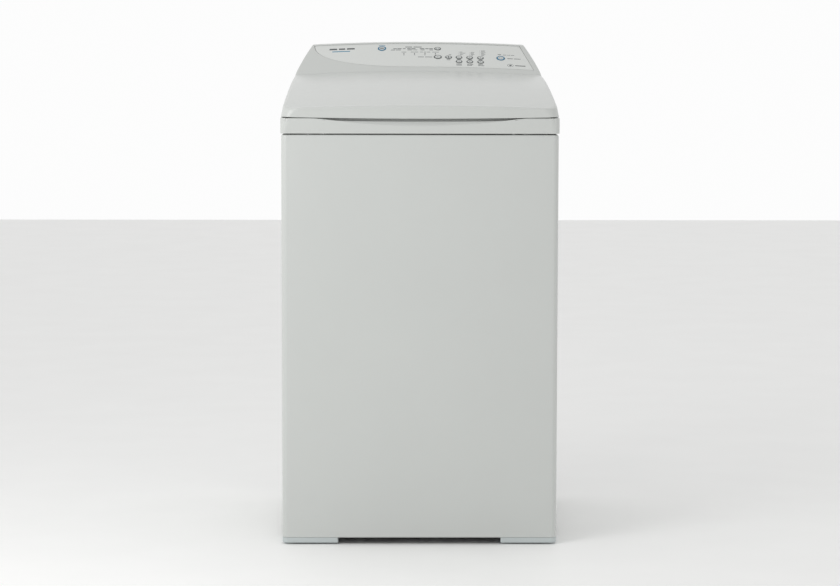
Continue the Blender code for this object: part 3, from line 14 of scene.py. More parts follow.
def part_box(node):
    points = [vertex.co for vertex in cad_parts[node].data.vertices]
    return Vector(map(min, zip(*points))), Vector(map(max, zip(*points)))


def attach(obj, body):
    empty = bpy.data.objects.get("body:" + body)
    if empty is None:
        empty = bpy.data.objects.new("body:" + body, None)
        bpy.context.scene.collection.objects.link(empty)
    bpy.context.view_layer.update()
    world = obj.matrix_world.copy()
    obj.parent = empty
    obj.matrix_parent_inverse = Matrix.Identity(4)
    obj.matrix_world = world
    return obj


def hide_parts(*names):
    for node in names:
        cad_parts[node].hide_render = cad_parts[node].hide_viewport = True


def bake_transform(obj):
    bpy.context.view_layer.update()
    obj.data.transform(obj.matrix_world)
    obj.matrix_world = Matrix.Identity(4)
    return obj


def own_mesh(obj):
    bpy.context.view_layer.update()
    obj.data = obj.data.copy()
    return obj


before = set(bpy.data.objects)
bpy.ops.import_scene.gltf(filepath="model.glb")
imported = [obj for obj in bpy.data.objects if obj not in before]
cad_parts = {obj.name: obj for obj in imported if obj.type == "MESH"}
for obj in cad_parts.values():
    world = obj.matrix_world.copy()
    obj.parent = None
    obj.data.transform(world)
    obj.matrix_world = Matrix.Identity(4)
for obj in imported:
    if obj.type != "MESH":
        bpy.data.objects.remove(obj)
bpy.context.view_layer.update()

# ---------------------------------------------------------------- places read from the model
WRAPPER_LOW, WRAPPER_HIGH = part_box("cabinet_wrapper")
DECK_LOW, DECK_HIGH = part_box("top_deck")
CONSOLE_LOW, CONSOLE_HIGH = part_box("console_housing")
BACK_LOW, BACK_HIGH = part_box("rear_panel")

HALF_W = DECK_HIGH.x
HALF_D = DECK_HIGH.y
DECK_BASE = WRAPPER_HIGH.z + 0.002
LID_LINE = DECK_BASE + 0.031
RAIL_RISE = 0.039
CONSOLE_BASE = CONSOLE_LOW.z
CONSOLE_FRONT = CONSOLE_LOW.y
CREST = CONSOLE_HIGH.z
LID_BACK = CONSOLE_FRONT - 0.001
LID_SIDE_CREASE = LID_LINE + 0.0195
LID_RUN = LID_BACK + HALF_D - 0.010
LID_CLIMB, LID_BEND = 0.2455, 0.252
LID_CROWN, LID_CROWN_GROWTH = 0.006, 0.003
LIP_DROP = 0.003
SIDE_LEAN = 0.172
HINGE_LEAN = 0.14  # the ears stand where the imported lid's side would carry them
HINGE_Y = CONSOLE_FRONT - 0.0255
FACE_FOOT = LID_SIDE_CREASE + LID_CLIMB * LID_RUN - LID_BEND * LID_RUN**2 + LID_CROWN + LID_CROWN_GROWTH
HINGE_Z = FACE_FOOT - LID_CROWN - LID_CROWN_GROWTH - 0.0125
SWING = HINGE_Z - (LID_LINE + RAIL_RISE) - 0.002
FACE_RUN = HALF_D - CONSOLE_FRONT - 0.0295
FACE_RISE = CREST - 0.0025 - FACE_FOOT
FACE_SLOPE = FACE_RISE / FACE_RUN
FACE_LENGTH = math.hypot(FACE_RUN, FACE_RISE)
CONSOLE_CROWN = 0.009
NOTCH_Z = FACE_FOOT - CONSOLE_CROWN
CHEEK_LEAN, CHEEK_CURVE = 0.27, 2.2
POCKET_BACK = CONSOLE_FRONT + 0.0095
SCOOP_HALF, SCOOP_DROP, FINGER_GAP, SCOOP_SLOPE = 0.211, 0.0160, 0.0065, 0.70
DISH = LID_LINE - 0.0065
FASCIA_LOW, FASCIA_HIGH = 0.017, FACE_LENGTH - 0.0028
FASCIA_LEFT, FASCIA_RIGHT_LOW, FASCIA_RIGHT_HIGH = HALF_W - 0.054, HALF_W - 0.030, HALF_W - 0.058
FASCIA_ROUNDNESS = 2.2
FASCIA_THICKNESS = 0.0024
RECESS_MIDDLE = (DECK_BASE + LID_LINE + RAIL_RISE) / 2
EAR_MIDDLE = HALF_W - HINGE_LEAN * (HINGE_Z - LID_LINE) - 0.0165


# ---------------------------------------------------------------- finishes
def new_material(name, roughness, metallic=0.0, coat=0.0, specular=0.5):
    """A Principled material with its plain numbers set on its own sockets, and its Object
    coordinates."""
    made = bpy.data.materials.new(name)
    made.use_nodes = True
    nodes, links = made.node_tree.nodes, made.node_tree.links
    shader = nodes["Principled BSDF"]
    shader.inputs["Roughness"].default_value = roughness
    shader.inputs["Metallic"].default_value = metallic
    shader.inputs["Coat Weight"].default_value = coat
    shader.inputs["Coat Roughness"].default_value = 0.12
    shader.inputs["Specular IOR Level"].default_value = specular
    place = nodes.new("ShaderNodeTexCoord")
    return made, nodes, links, shader, place


def noise(nodes, links, place, scale, detail=3.0, stretch=None):
    """Noise over Object coordinates, squeezed along an axis where stretch is given."""
    made = nodes.new("ShaderNodeTexNoise")
    made.inputs["Scale"].default_value = scale
    made.inputs["Detail"].default_value = detail
    if stretch is None:
        links.new(place.outputs["Object"], made.inputs["Vector"])
    else:
        squeeze = nodes.new("ShaderNodeMapping")
        squeeze.inputs["Scale"].default_value = stretch
        links.new(place.outputs["Object"], squeeze.inputs["Vector"])
        links.new(squeeze.outputs["Vector"], made.inputs["Vector"])
    return made


def spread(nodes, links, source, low, high, target):
    """Feeds a socket with the source's value carried from its middle range to low..high."""
    made = nodes.new("ShaderNodeMapRange")
    made.inputs["From Min"].default_value = 0.3
    made.inputs["From Max"].default_value = 0.7
    made.inputs["To Min"].default_value = low
    made.inputs["To Max"].default_value = high
    links.new(source, made.inputs["Value"])
    links.new(made.outputs["Result"], target)


def tint(nodes, links, source, dark, light, target):
    """Feeds a colour socket with a ramp from one tone to another along the source."""
    ramp = nodes.new("ShaderNodeValToRGB")
    ramp.color_ramp.elements[0].position = 0.3
    ramp.color_ramp.elements[0].color = (*dark, 1)
    ramp.color_ramp.elements[1].position = 0.7
    ramp.color_ramp.elements[1].color = (*light, 1)
    links.new(source, ramp.inputs["Fac"])
    links.new(ramp.outputs["Color"], target)


def raise_grain(nodes, links, shader, source, strength, distance):
    """A bump from the source, as deep as distance in metres."""
    bump = nodes.new("ShaderNodeBump")
    bump.inputs["Strength"].default_value = strength
    bump.inputs["Distance"].default_value = distance
    links.new(source, bump.inputs["Height"])
    links.new(bump.outputs["Normal"], shader.inputs["Normal"])


def moulded(name, colour, roughness=0.32, sway=0.02, grain=900.0, depth=0.00003, coat=0.0, metallic=0.0):
    """A moulded or painted finish: slow colour drift, uneven gloss and a fine skin."""
    made, nodes, links, shader, place = new_material(name, roughness, metallic, coat)
    colour = np.array(colour)
    drift = noise(nodes, links, place, 5.0)
    tint(
        nodes, links, drift.outputs["Fac"], colour * (1 - sway), np.minimum(colour * (1 + sway), 1),
        shader.inputs["Base Color"])
    gloss = noise(nodes, links, place, 45.0, 4.0)
    spread(nodes, links, gloss.outputs["Fac"], roughness * 0.94, roughness * 1.07, shader.inputs["Roughness"])
    skin_noise = noise(nodes, links, place, grain, 2.0)
    raise_grain(nodes, links, shader, skin_noise.outputs["Fac"], 0.5, depth)
    return made


def brushed(name, colour, roughness, stretch, sway=0.08, grain=60.0, depth=0.00002):
    """Metal with fine lines along one direction: noise squeezed across it drives tone, gloss and
    bump."""
    made, nodes, links, shader, place = new_material(name, roughness, 1.0)
    colour = np.array(colour)
    lines = noise(nodes, links, place, grain, 4.0, stretch)
    tint(
        nodes, links, lines.outputs["Fac"], colour * (1 - sway), np.minimum(colour * (1 + sway), 1),
        shader.inputs["Base Color"])
    spread(nodes, links, lines.outputs["Fac"], roughness * 0.8, roughness * 1.25, shader.inputs["Roughness"])
    raise_grain(nodes, links, shader, lines.outputs["Fac"], 0.4, depth)
    return made


def spangled(name, colour, roughness):
    """Zinc-coated sheet: cells of slightly different tone and gloss, as the coating crystallises."""
    made, nodes, links, shader, place = new_material(name, roughness, 1.0)
    colour = np.array(colour)
    cells = nodes.new("ShaderNodeTexVoronoi")
    cells.inputs["Scale"].default_value = 95.0
    links.new(place.outputs["Object"], cells.inputs["Vector"])
    grey = nodes.new("ShaderNodeRGBToBW")
    links.new(cells.outputs["Color"], grey.inputs["Color"])
    tint(
        nodes, links, grey.outputs["Val"], colour * 0.90, np.minimum(colour * 1.08, 1),
        shader.inputs["Base Color"])
    spread(nodes, links, grey.outputs["Val"], roughness * 0.8, roughness * 1.2, shader.inputs["Roughness"])
    raise_grain(nodes, links, shader, cells.outputs["Distance"], 0.2, 0.00002)
    return made


ENAMEL = moulded("cabinet_paint", (0.600, 0.618, 0.600), 0.34, 0.008, 420.0, 0.000006, coat=0.15)
SHELL = moulded("top_moulding", (0.600, 0.617, 0.597), 0.30, 0.006, 1400.0, 0.000002, coat=0.06)
FASCIA = moulded("panel_film", (0.695, 0.711, 0.690), 0.36, 0.008, 2200.0, 0.00001)
CAP_GREY = moulded("button_cap", (0.60, 0.62, 0.605), 0.38, 0.010, 2000.0, 0.00001)
RING_GREY = moulded("button_ring_grey", (0.060, 0.068, 0.072), 0.42, 0.04, 2000.0, 0.00001)
RING_BLUE = moulded("button_ring_blue", (0.035, 0.175, 0.300), 0.40, 0.04, 2000.0, 0.00001)
PRINT_GREY = moulded("panel_print_grey", (0.085, 0.094, 0.100), 0.50, 0.05, 2500.0, 0.00001)
PRINT_PALE = moulded("panel_print_pale", (0.200, 0.212, 0.214), 0.50, 0.05, 2500.0, 0.00001)
PRINT_BLUE = moulded("panel_print_blue", (0.050, 0.220, 0.350), 0.50, 0.05, 2500.0, 0.00001)
LENS = moulded("indicator_lens", (0.115, 0.120, 0.120), 0.18, 0.03, 900.0, 0.00001, coat=0.6)
FOOT_GREY = moulded("foot_moulding", (0.520, 0.565, 0.565), 0.50, 0.05, 700.0, 0.00006)
RUBBER = moulded("black_rubber", (0.028, 0.028, 0.030), 0.82, 0.15, 500.0, 0.00008)
TUB_WHITE = moulded("tub_polypropylene", (0.70, 0.71, 0.69), 0.48, 0.03, 500.0, 0.00006)
AGITATOR_WHITE = moulded("agitator_moulding", (0.74, 0.75, 0.75), 0.33, 0.012, 1200.0, 0.00002)
MODULE = moulded("module_case", (0.035, 0.037, 0.042), 0.52, 0.10, 800.0, 0.00006)
VALVE = moulded("valve_moulding", (0.66, 0.66, 0.61), 0.46, 0.03, 700.0, 0.00004)
HOT_MARK = moulded("hot_collar", (0.50, 0.045, 0.040), 0.42, 0.05, 900.0, 0.00002)
COLD_MARK = moulded("cold_collar", (0.040, 0.120, 0.42), 0.42, 0.05, 900.0, 0.00002)
DRUM = brushed("drum_steel", (0.80, 0.80, 0.79), 0.34, (1.0, 1.0, 22.0))
SHAFT = brushed("ground_steel", (0.58, 0.59, 0.61), 0.18, (1.0, 1.0, 30.0), 0.05, 90.0)
WIRE = brushed("zinc_wire", (0.52, 0.53, 0.54), 0.36, (1.0, 1.0, 3.0), 0.12, 220.0)
ZINC = spangled("zinc_sheet", (0.52, 0.53, 0.54), 0.38)
COPPER = brushed("winding_wire", (0.70, 0.30, 0.13), 0.34, (1.0, 1.0, 40.0), 0.22, 30.0, 0.0003)
SCREW = brushed("screw_steel", (0.60, 0.60, 0.59), 0.30, (6.0, 1.0, 1.0), 0.08, 300.0)


# ---------------------------------------------------------------- mesh tools
def piece(name, points, faces, materials, angle=32.0, shade=None, merge=1e-6):
    """A closed mesh piece: doubles merged, faces turned outwards, soft up to an angle between faces.

    shade is each face's place in the list of materials, by the face's own place in faces.
    """
    mesh = bpy.data.meshes.new(name)
    mesh.from_pydata(np.asarray(points, float).reshape(-1, 3).tolist(), [], faces)
    materials = materials if isinstance(materials, (list, tuple)) else [materials]
    for material in materials:
        mesh.materials.append(material)
    if shade is not None:
        mesh.polygons.foreach_set("material_index", np.asarray(shade, np.int32))
    tidy(mesh, angle, merge)
    made = bpy.data.objects.new(name, mesh)
    bpy.context.scene.collection.objects.link(made)
    return made


def tidy(mesh, angle=32.0, merge=1e-6):
    """Merges doubles, drops faces without area, turns faces outwards and marks the sharp edges."""
    work = bmesh.new()
    work.from_mesh(mesh)
    if merge:
        bmesh.ops.remove_doubles(work, verts=work.verts, dist=merge)
        bmesh.ops.dissolve_degenerate(work, edges=work.edges, dist=1e-7)
    bmesh.ops.recalc_face_normals(work, faces=work.faces)
    work.to_mesh(mesh)
    work.free()
    mesh.shade_smooth()
    mesh.set_sharp_from_angle(angle=math.radians(angle))


def skin(name, loops, materials, closed=False, angle=32.0, shade=None, merge=1e-6):
    """Quads between closed loops of equally many points; closed runs the last loop back to the first.

    An open run of loops gets a flat face at each end. shade gives a material to each band of quads.
    """
    loops = np.asarray(loops, float)
    rows, columns = loops.shape[:2]
    index = np.arange(rows * columns).reshape(rows, columns)
    low, high = (index, np.roll(index, -1, 0)) if closed else (index[:-1], index[1:])
    quads = np.stack([low, np.roll(low, -1, 1), np.roll(high, -1, 1), high], -1).reshape(-1, 4)
    faces = quads.tolist()
    bands = None if shade is None else np.repeat(shade, columns).tolist()
    if not closed:
        faces += [index[0][::-1].tolist(), index[-1].tolist()]
        bands = None if bands is None else bands + [shade[0], shade[-1]]
    return piece(name, loops, faces, materials, angle, bands, merge)


def soften(line, radius, steps=4, closed=False):
    """A line of points with each corner swapped for a short curve that leaves it radius away on
    both sides."""
    line = np.asarray(line, float)
    radius = np.broadcast_to(radius, len(line))
    before, after = np.roll(line, 1, 0), np.roll(line, -1, 0)
    to_before, to_after = before - line, after - line
    reach_b, reach_a = np.linalg.norm(to_before, axis=1), np.linalg.norm(to_after, axis=1)
    trim = np.minimum(radius, 0.48 * np.minimum(reach_b, reach_a))
    start = line + to_before * (trim / np.maximum(reach_b, 1e-12))[:, None]
    end = line + to_after * (trim / np.maximum(reach_a, 1e-12))[:, None]
    t = np.linspace(0, 1, steps + 1)[None, :, None]
    curve = (1 - t) ** 2 * start[:, None] + 2 * t * (1 - t) * line[:, None] + t**2 * end[:, None]
    if closed:
        return curve.reshape(-1, line.shape[1])
    middle = curve[1:-1].reshape(-1, line.shape[1])
    return np.vstack([line[:1], middle, line[-1:]])


def revolve(
    name, profile, materials, at=(0.0, 0.0), segments=96, carry=None, closed=True, angle=32.0, shade=None):
    """A profile of (radius, height) turned about Z: each loop is its point carried round the circle.

    An open profile starts and ends on the axis. carry is a matrix from the axis to the piece's place.
    """
    profile = np.asarray(profile, float)
    turn = np.linspace(0, 2 * math.pi, segments, endpoint=False)
    radius, height = profile[:, 0][:, None], profile[:, 1][:, None]
    loops = np.stack([radius * np.cos(turn) + at[0], radius * np.sin(turn) + at[1], height + 0 * turn], -1)
    if carry is not None:
        loops = carried(loops, carry)
    return skin(name, loops, materials, closed=closed, angle=angle, shade=shade)


def carried(points, matrix):
    """Points multiplied by a 4x4 matrix."""
    matrix = np.array(matrix, float)
    return np.asarray(points) @ matrix[:3, :3].T + matrix[:3, 3]


def sweep(name, path, radius, materials, sides=16, angle=40.0):
    """A round tube along a path: rings at right angles to it, kept from twisting by one reference
    direction.

    radius is one number, or one for each point of the path.
    """
    path = np.asarray(path, float)
    ahead = np.gradient(path, axis=0)
    ahead /= np.linalg.norm(ahead, axis=1)[:, None]
    spread_axes = np.ptp(path, axis=0)
    reference = np.eye(3)[np.argmin(spread_axes)]
    side = np.cross(ahead, reference)
    side /= np.linalg.norm(side, axis=1)[:, None]
    up = np.cross(side, ahead)
    turn = np.linspace(0, 2 * math.pi, sides, endpoint=False)[None, :, None]
    radius = np.broadcast_to(radius, len(path))[:, None, None]
    loops = path[:, None] + radius * (np.cos(turn) * side[:, None] + np.sin(turn) * up[:, None])
    return skin(name, loops, materials, angle=angle)


def coil(name, at, low, rise, radius, wire, turns, materials, steps=22, sides=8):
    """A wire of round section along a helix: its ring stands in the plane of the coil's radius and
    its axis."""
    share = np.linspace(0, 1, int(turns * steps) + 1)
    round_angle = 2 * math.pi * turns * share
    flat = np.clip(np.minimum(share, 1 - share) * turns / 0.9, 0, 1)
    eased = np.cumsum(0.12 + 0.88 * flat**2)
    eased = (eased - eased[0]) / (eased[-1] - eased[0])
    out = np.stack([np.cos(round_angle), np.sin(round_angle), 0 * share], -1)
    spine = out * radius + np.array([at[0], at[1], low]) + np.outer(eased * rise, [0, 0, 1])
    turn = np.linspace(0, 2 * math.pi, sides, endpoint=False)[None, :, None]
    loops = spine[:, None] + wire * (np.cos(turn) * out[:, None] + np.sin(turn) * np.array([0, 0, 1.0]))
    return skin(name, loops, materials, angle=60)


def block(name, low, high, materials, bevel=0.0015, segments=3):
    """A box between two corners, its edges rounded by a Bevel."""
    low, high = np.array(low, float), np.array(high, float)
    corner = np.array([(0, 0), (1, 0), (1, 1), (0, 1)])
    loops = [np.column_stack([low[:2] + corner * (high - low)[:2], np.full(4, z)]) for z in (low[2], high[2])]
    made = skin(name, loops, materials)
    if bevel:
        round_edges(made, bevel, segments)
    return made


def round_edges(made, width, segments=3, angle=30.0):
    """Rounds a piece's sharp edges and bakes the result in."""
    step = made.modifiers.new("rounding", "BEVEL")
    step.width = width
    step.segments = segments
    step.limit_method = "ANGLE"
    step.angle_limit = math.radians(angle)
    settle(made)


def settle(made, angle=32.0):
    """Takes the shape that a piece's modifiers give as its own mesh."""
    bpy.context.view_layer.update()
    evaluated = made.evaluated_get(bpy.context.evaluated_depsgraph_get())
    mesh = bpy.data.meshes.new_from_object(evaluated)
    made.modifiers.clear()
    made.data = mesh
    mesh.shade_smooth()
    mesh.set_sharp_from_angle(angle=math.radians(angle))


def carve(made, tools, operation="DIFFERENCE", angle=32.0):
    """Cuts tools from a piece, or unites them with it, and removes the tools."""
    for tool in tools:
        step = made.modifiers.new("carve", "BOOLEAN")
        step.operation = operation
        step.object = tool
        step.solver = "MANIFOLD"
    settle(made, angle)
    for tool in tools:
        bpy.data.objects.remove(tool)
    return made


def rod(name, start, end, radius, materials, segments=32, carry_profile=None):
    """A straight round bar from start to end, or a profile of (radius, length) stood along that
    line."""
    start, end = Vector(start), Vector(end)
    turn = (end - start).to_track_quat("Z", "Y").to_matrix().to_4x4()
    length = (end - start).length
    profile = carry_profile if carry_profile is not None else [
        (0, 0), (radius, 0), (radius, length), (0, length)]
    return revolve(
        name, profile, materials, segments=segments, carry=Matrix.Translation(start) @ turn, closed=False)


def joined(name, parts):
    """One piece from several, each keeping its own materials."""
    head = parts[0]
    with bpy.context.temp_override(
        active_object=head, selected_editable_objects=parts, selected_objects=parts):
        bpy.ops.object.join()
    head.name = name
    head.data.name = name
    return head


def place(made, body, slot, *nodes):
    """Rides a piece on its body and lets it stand for CAD nodes; its slot is not used."""
    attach(made, body)
    if nodes:
        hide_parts(*nodes)
    return made


def smoothstep(share):
    """Three times the share squared less twice its cube, held at 0 and 1."""
    share = np.clip(share, 0, 1)
    return share * share * (3 - 2 * share)


# ---------------------------------------------------------------- the shape of the top
def rail_height(y):
    """Side rails of the deck: level at the front, climbing to the console along a smooth step."""
    return LID_LINE + RAIL_RISE * smoothstep((y + HALF_D) / (CONSOLE_FRONT + HALF_D))


def lid_height(x, y):
    """The lid's outer face: a slope less a square term towards the back, plus a crown that is
    square in x."""
    run = np.clip(y + HALF_D - 0.010, 0, None)
    crown = LID_CROWN + LID_CROWN_GROWTH * run / LID_RUN
    return LID_SIDE_CREASE + LID_CLIMB * run - LID_BEND * run**2 + crown * (1 - (x / HALF_W) ** 2)


def face_height(x, y):
    """The console's face: one slope in y less a crown that is square in x."""
    return FACE_FOOT + FACE_SLOPE * (y - CONSOLE_FRONT) - CONSOLE_CROWN * (x / HALF_W) ** 2


def cheek_inset(z):
    """How far the sides stand in at a height: a straight lean, and a curve above the notch."""
    above = np.clip(z - NOTCH_Z, 0, None)
    return SIDE_LEAN * (z - LID_LINE) + CHEEK_LEAN * above + CHEEK_CURVE * above**2


def finger_gap(x):
    """How far the deck's front edge drops: full depth in the middle, gone at the scoop's ends."""
    return FINGER_GAP * (1 - np.clip(np.abs(x) / SCOOP_HALF, 0, 1) ** 6)


def outline(half_x, front, back, radius, back_radius=None, counts=(97, 49, 25, 9)):
    """A rounded rectangle in plan: front left to right, right side, back, left side, with even
    spacing on each.

    counts are the points along the front, a side, the back and a corner. A corner's points follow
    a quarter
    circle of the radius given.
    """
    back_radius = radius if back_radius is None else back_radius
    across, along, behind, bend = counts
    turn = np.linspace(0, math.pi / 2, bend + 2)[1:-1]
    sin, cos = np.sin(turn), np.cos(turn)
    front_x = np.linspace(-1, 1, across) * (half_x - radius)
    side_y = np.linspace(front + radius, back - back_radius, along)
    back_x = np.linspace(1, -1, behind) * (half_x - back_radius)
    parts = [
        np.column_stack([front_x, np.full(across, front)]),
        np.column_stack([half_x - radius + radius * sin, front + radius - radius * cos]),
        np.column_stack([np.full(along, half_x), side_y]),
        np.column_stack([half_x - back_radius + back_radius * cos, back - back_radius + back_radius * sin]),
        np.column_stack([back_x, np.full(behind, back)]),
        np.column_stack([-half_x + back_radius - back_radius * sin, back - back_radius + back_radius * cos]),
        np.column_stack([np.full(along, -half_x), side_y[::-1]]),
        np.column_stack([-half_x + radius - radius * cos, front + radius - radius * sin]),
    ]
    return np.vstack(parts)


COUNTS = (97, 49, 25, 9)
FRONT = slice(0, COUNTS[0])
BACK_START = COUNTS[0] + 2 * COUNTS[3] + COUNTS[1]
BACK = slice(BACK_START, BACK_START + COUNTS[2])


# ---------------------------------------------------------------- camera, light and floor
def make_studio():
    """Camera in front of the machine, a pale floor and soft even light."""
    lens = bpy.data.cameras.new("camera")
    lens.lens = 111.3
    lens.sensor_width = 36.0
    camera = bpy.data.objects.new("camera", lens)
    bpy.context.scene.collection.objects.link(camera)
    down, yaw, roll = 0.0992, 0.0088, 0.0017
    ahead = Vector((math.sin(yaw) * math.cos(down), math.cos(yaw) * math.cos(down), -math.sin(down)))
    facing = ahead.to_track_quat("-Z", "Y").to_matrix().to_4x4()
    camera.matrix_world = Matrix.Translation(
        (-0.0454, -5.480, 1.031)
    ) @ facing @ Matrix.Rotation(roll, 4, "Z")
    lens.clip_end = 60
    bpy.context.scene.camera = camera

    world = bpy.data.worlds.new("studio")
    world.use_nodes = True
    nodes, links = world.node_tree.nodes, world.node_tree.links
    heading = nodes.new("ShaderNodeTexCoord")
    parts = nodes.new("ShaderNodeSeparateXYZ")
    glow = nodes.new("ShaderNodeMapRange")
    glow.inputs["From Min"].default_value = -1.0
    glow.inputs["To Min"].default_value = FRONT_SKY
    glow.inputs["To Max"].default_value = BACK_SKY
    links.new(heading.outputs["Generated"], parts.inputs["Vector"])
    links.new(parts.outputs["Y"], glow.inputs["Value"])
    nodes["Background"].inputs["Color"].default_value = (1.0, 1.0, 1.0, 1)
    overhead = nodes.new("ShaderNodeMapRange")
    overhead.inputs["From Min"].default_value = 0.25
    overhead.inputs["To Min"].default_value = 1.0
    overhead.inputs["To Max"].default_value = OVERHEAD_SHARE
    links.new(parts.outputs["Z"], overhead.inputs["Value"])
    strength = nodes.new("ShaderNodeMath")
    strength.operation = "MULTIPLY"
    links.new(glow.outputs["Result"], strength.inputs[0])
    links.new(overhead.outputs["Result"], strength.inputs[1])
    links.new(strength.outputs["Value"], nodes["Background"].inputs["Strength"])
    bpy.context.scene.world = world
    bpy.context.scene.view_settings.view_transform = "Standard"

    floor_finish = moulded("studio_floor", (0.98, 0.98, 0.97), 0.60, 0.01, 60.0, 0.00002)
    size = 9.0
    corners = np.array(
        [(-size, -size, 0), (size, -size, 0), (size, size, 0), (-size, size, 0)]
    ) + (0, 0, -0.0002)
    mesh = bpy.data.meshes.new("studio_floor")
    mesh.from_pydata(corners.tolist(), [], [(0, 1, 2, 3)])
    mesh.materials.append(floor_finish)
    floor = bpy.data.objects.new("studio_floor", mesh)
    bpy.context.scene.collection.objects.link(floor)

    for name, place_at, aim, width, height, power in LIGHTS:
        glow = bpy.data.lights.new(name, "AREA")
        glow.shape = "RECTANGLE"
        glow.size, glow.size_y, glow.energy = width, height, power
        lamp = bpy.data.objects.new(name, glow)
        bpy.context.scene.collection.objects.link(lamp)
        turn = (Vector(aim) - Vector(place_at)).to_track_quat("-Z", "Y").to_matrix().to_4x4()
        lamp.matrix_world = Matrix.Translation(place_at) @ turn


FRONT_SKY, BACK_SKY, OVERHEAD_SHARE = 0.70, 0.98, 0.84
# name, place, where it points, width, height, watts
LIGHTS = (
    ("key", (-1.30, -1.50, 1.50), (0.0, -0.28, 0.60), 1.1, 1.1, 13.0),
)


# ---------------------------------------------------------------- cabinet
def make_cabinet():
    """Front and sides folded from one sheet: a section with a rolled rim carried round a path with
    round corners."""
    half_x, half_y = WRAPPER_HIGH.x, WRAPPER_HIGH.y
    radius, flange, sheet = 0.012, 0.030, 0.001
    turns = [np.radians(np.linspace(start, start + 90, 13)) for start in (90, 180, 270, 360)]
    middles = [(-1, 1), (-1, -1), (1, -1), (1, 1)]
    points, outs = [np.array([[-half_x + flange, half_y]])], [np.array([[0.0, 1.0]])]
    for (side_x, side_y), turn in zip(middles, turns):
        out = np.column_stack([np.cos(turn), np.sin(turn)])
        points.append(np.array([side_x * (half_x - radius), side_y * (half_y - radius)]) + radius * out)
        outs.append(out)
    points.append(np.array([[half_x - flange, half_y]]))
    outs.append(np.array([[0.0, 1.0]]))
    points, outs = np.vstack(points), np.vstack(outs)
    low, high = WRAPPER_LOW.z, WRAPPER_HIGH.z
    rim, reach = 0.0042, 0.0075
    bend = np.radians(np.linspace(0, 90, 8))
    outer = np.column_stack([rim - rim * np.cos(bend), high - rim + rim * np.sin(bend)])
    inner = np.column_stack(
        [rim - (rim - sheet) * np.cos(bend), high - rim + (rim - sheet) * np.sin(bend)]
    )[::-1]
    hem = np.array([(0.0009, low), (0.0003, low + 0.0002), (0, low + 0.0009)])
    section = np.vstack([hem, outer, [(reach, high), (reach, high - sheet)], inner, [(sheet, low)]])
    loops = np.concatenate(
        [
            points[:, None] - outs[:, None] * section[None, :, :1],
            np.broadcast_to(section[:, 1], (len(points), len(section)))[..., None]],
        axis=-1,
    )
    place(skin("cabinet_shell", loops, ENAMEL), "cabinet", "cabinet_enamel", "cabinet_wrapper")


def make_back():
    """Rear sheet: height over the sheet is a pressed field with a smooth ramp, less five soft
    horizontal beads."""
    half_x, low, high = BACK_HIGH.x, BACK_LOW.z, BACK_HIGH.z
    outer_y, sheet, depth = BACK_HIGH.y, 0.001, 0.004

    def ticks(start, end):
        """Grid places from edge to edge, crowded where the pressed field begins and ends."""
        ramps = np.concatenate([np.linspace(0.040, 0.060, 9), [0.0, 0.02]])
        return np.unique(
            np.round(
                np.concatenate([start + ramps, end - ramps, np.linspace(start + 0.07, end - 0.07, 40)]), 6))

    bead_heights = np.linspace(low + 0.14, high - 0.14, 5)
    near = np.concatenate([height + np.linspace(-0.012, 0.012, 9) for height in bead_heights])
    xs = ticks(-half_x, half_x)
    zs = np.unique(np.round(np.concatenate([ticks(low, high), near]), 6))
    x, z = np.meshgrid(xs, zs)
    inset = np.minimum(half_x - np.abs(x), np.minimum(z - low, high - z))
    field = smoothstep((inset - 0.042) / 0.014)
    ends = smoothstep((half_x - 0.085 - np.abs(x)) / 0.012)
    beads = sum(np.exp(-(((z - height) / 0.0055) ** 2)) for height in bead_heights) * ends
    y = outer_y - depth * field + 0.0032 * beads
    outside, inside = np.stack([x, y, z], -1), np.stack([x, y - sheet, z], -1)
    rows, columns = x.shape
    index = np.arange(2 * rows * columns).reshape(2, rows, columns)
    quads = []
    for sheet_index, flip in ((index[0], False), (index[1], True)):
        q = np.stack(
            [sheet_index[:-1, :-1], sheet_index[:-1, 1:], sheet_index[1:, 1:], sheet_index[1:, :-1]], -1)
        quads.append((q[..., ::-1] if flip else q).reshape(-1, 4))
    rim = np.concatenate(
        [index[:, 0, :-1], index[:, :-1, -1], index[:, -1, :0:-1], index[:, :0:-1, 0]], axis=1)
    after = np.roll(rim, -1, 1)
    quads.append(np.stack([rim[0], rim[1], after[1], after[0]], -1))
    back = piece("rear_sheet", np.stack([outside, inside]), np.vstack(quads).tolist(), ZINC, 40.0)
    place(back, "cabinet", "zinc_steel", "rear_panel")
    parts = []
    seat = WRAPPER_HIGH.y
    profile = [
        (0, 0.0014), (0.0030, 0.0014), (0.0034, 0.0009), (0.0034, 0.0006), (0.0052, 0.0005), (0.0054, 0),
        (0, 0)]
    places = [
        (side * (half_x - 0.009), height)
        for side in (-1, 1) for height in np.linspace(low + 0.03, high - 0.03, 6)]
    for number, (px, pz) in enumerate(places):
        carry = Matrix.Translation((px, seat, pz)) @ Matrix.Rotation(-math.pi / 2, 4, "X")
        screw = revolve(f"back_screw_{number}", profile, SCREW, segments=18, carry=carry, closed=False)
        slot_tool = block(
            f"slot_{number}", (px - 0.0022, seat + 0.0007, pz - 0.0004),
            (px + 0.0022, seat + 0.003, pz + 0.0004), SCREW, 0)
        parts.append(carve(screw, [slot_tool]))
    place(joined("back_screws", parts), "cabinet", "zinc_steel")


CORNERS = ((-1, -1, "front_left"), (1, -1, "front_right"), (-1, 1, "rear_left"), (1, 1, "rear_right"))


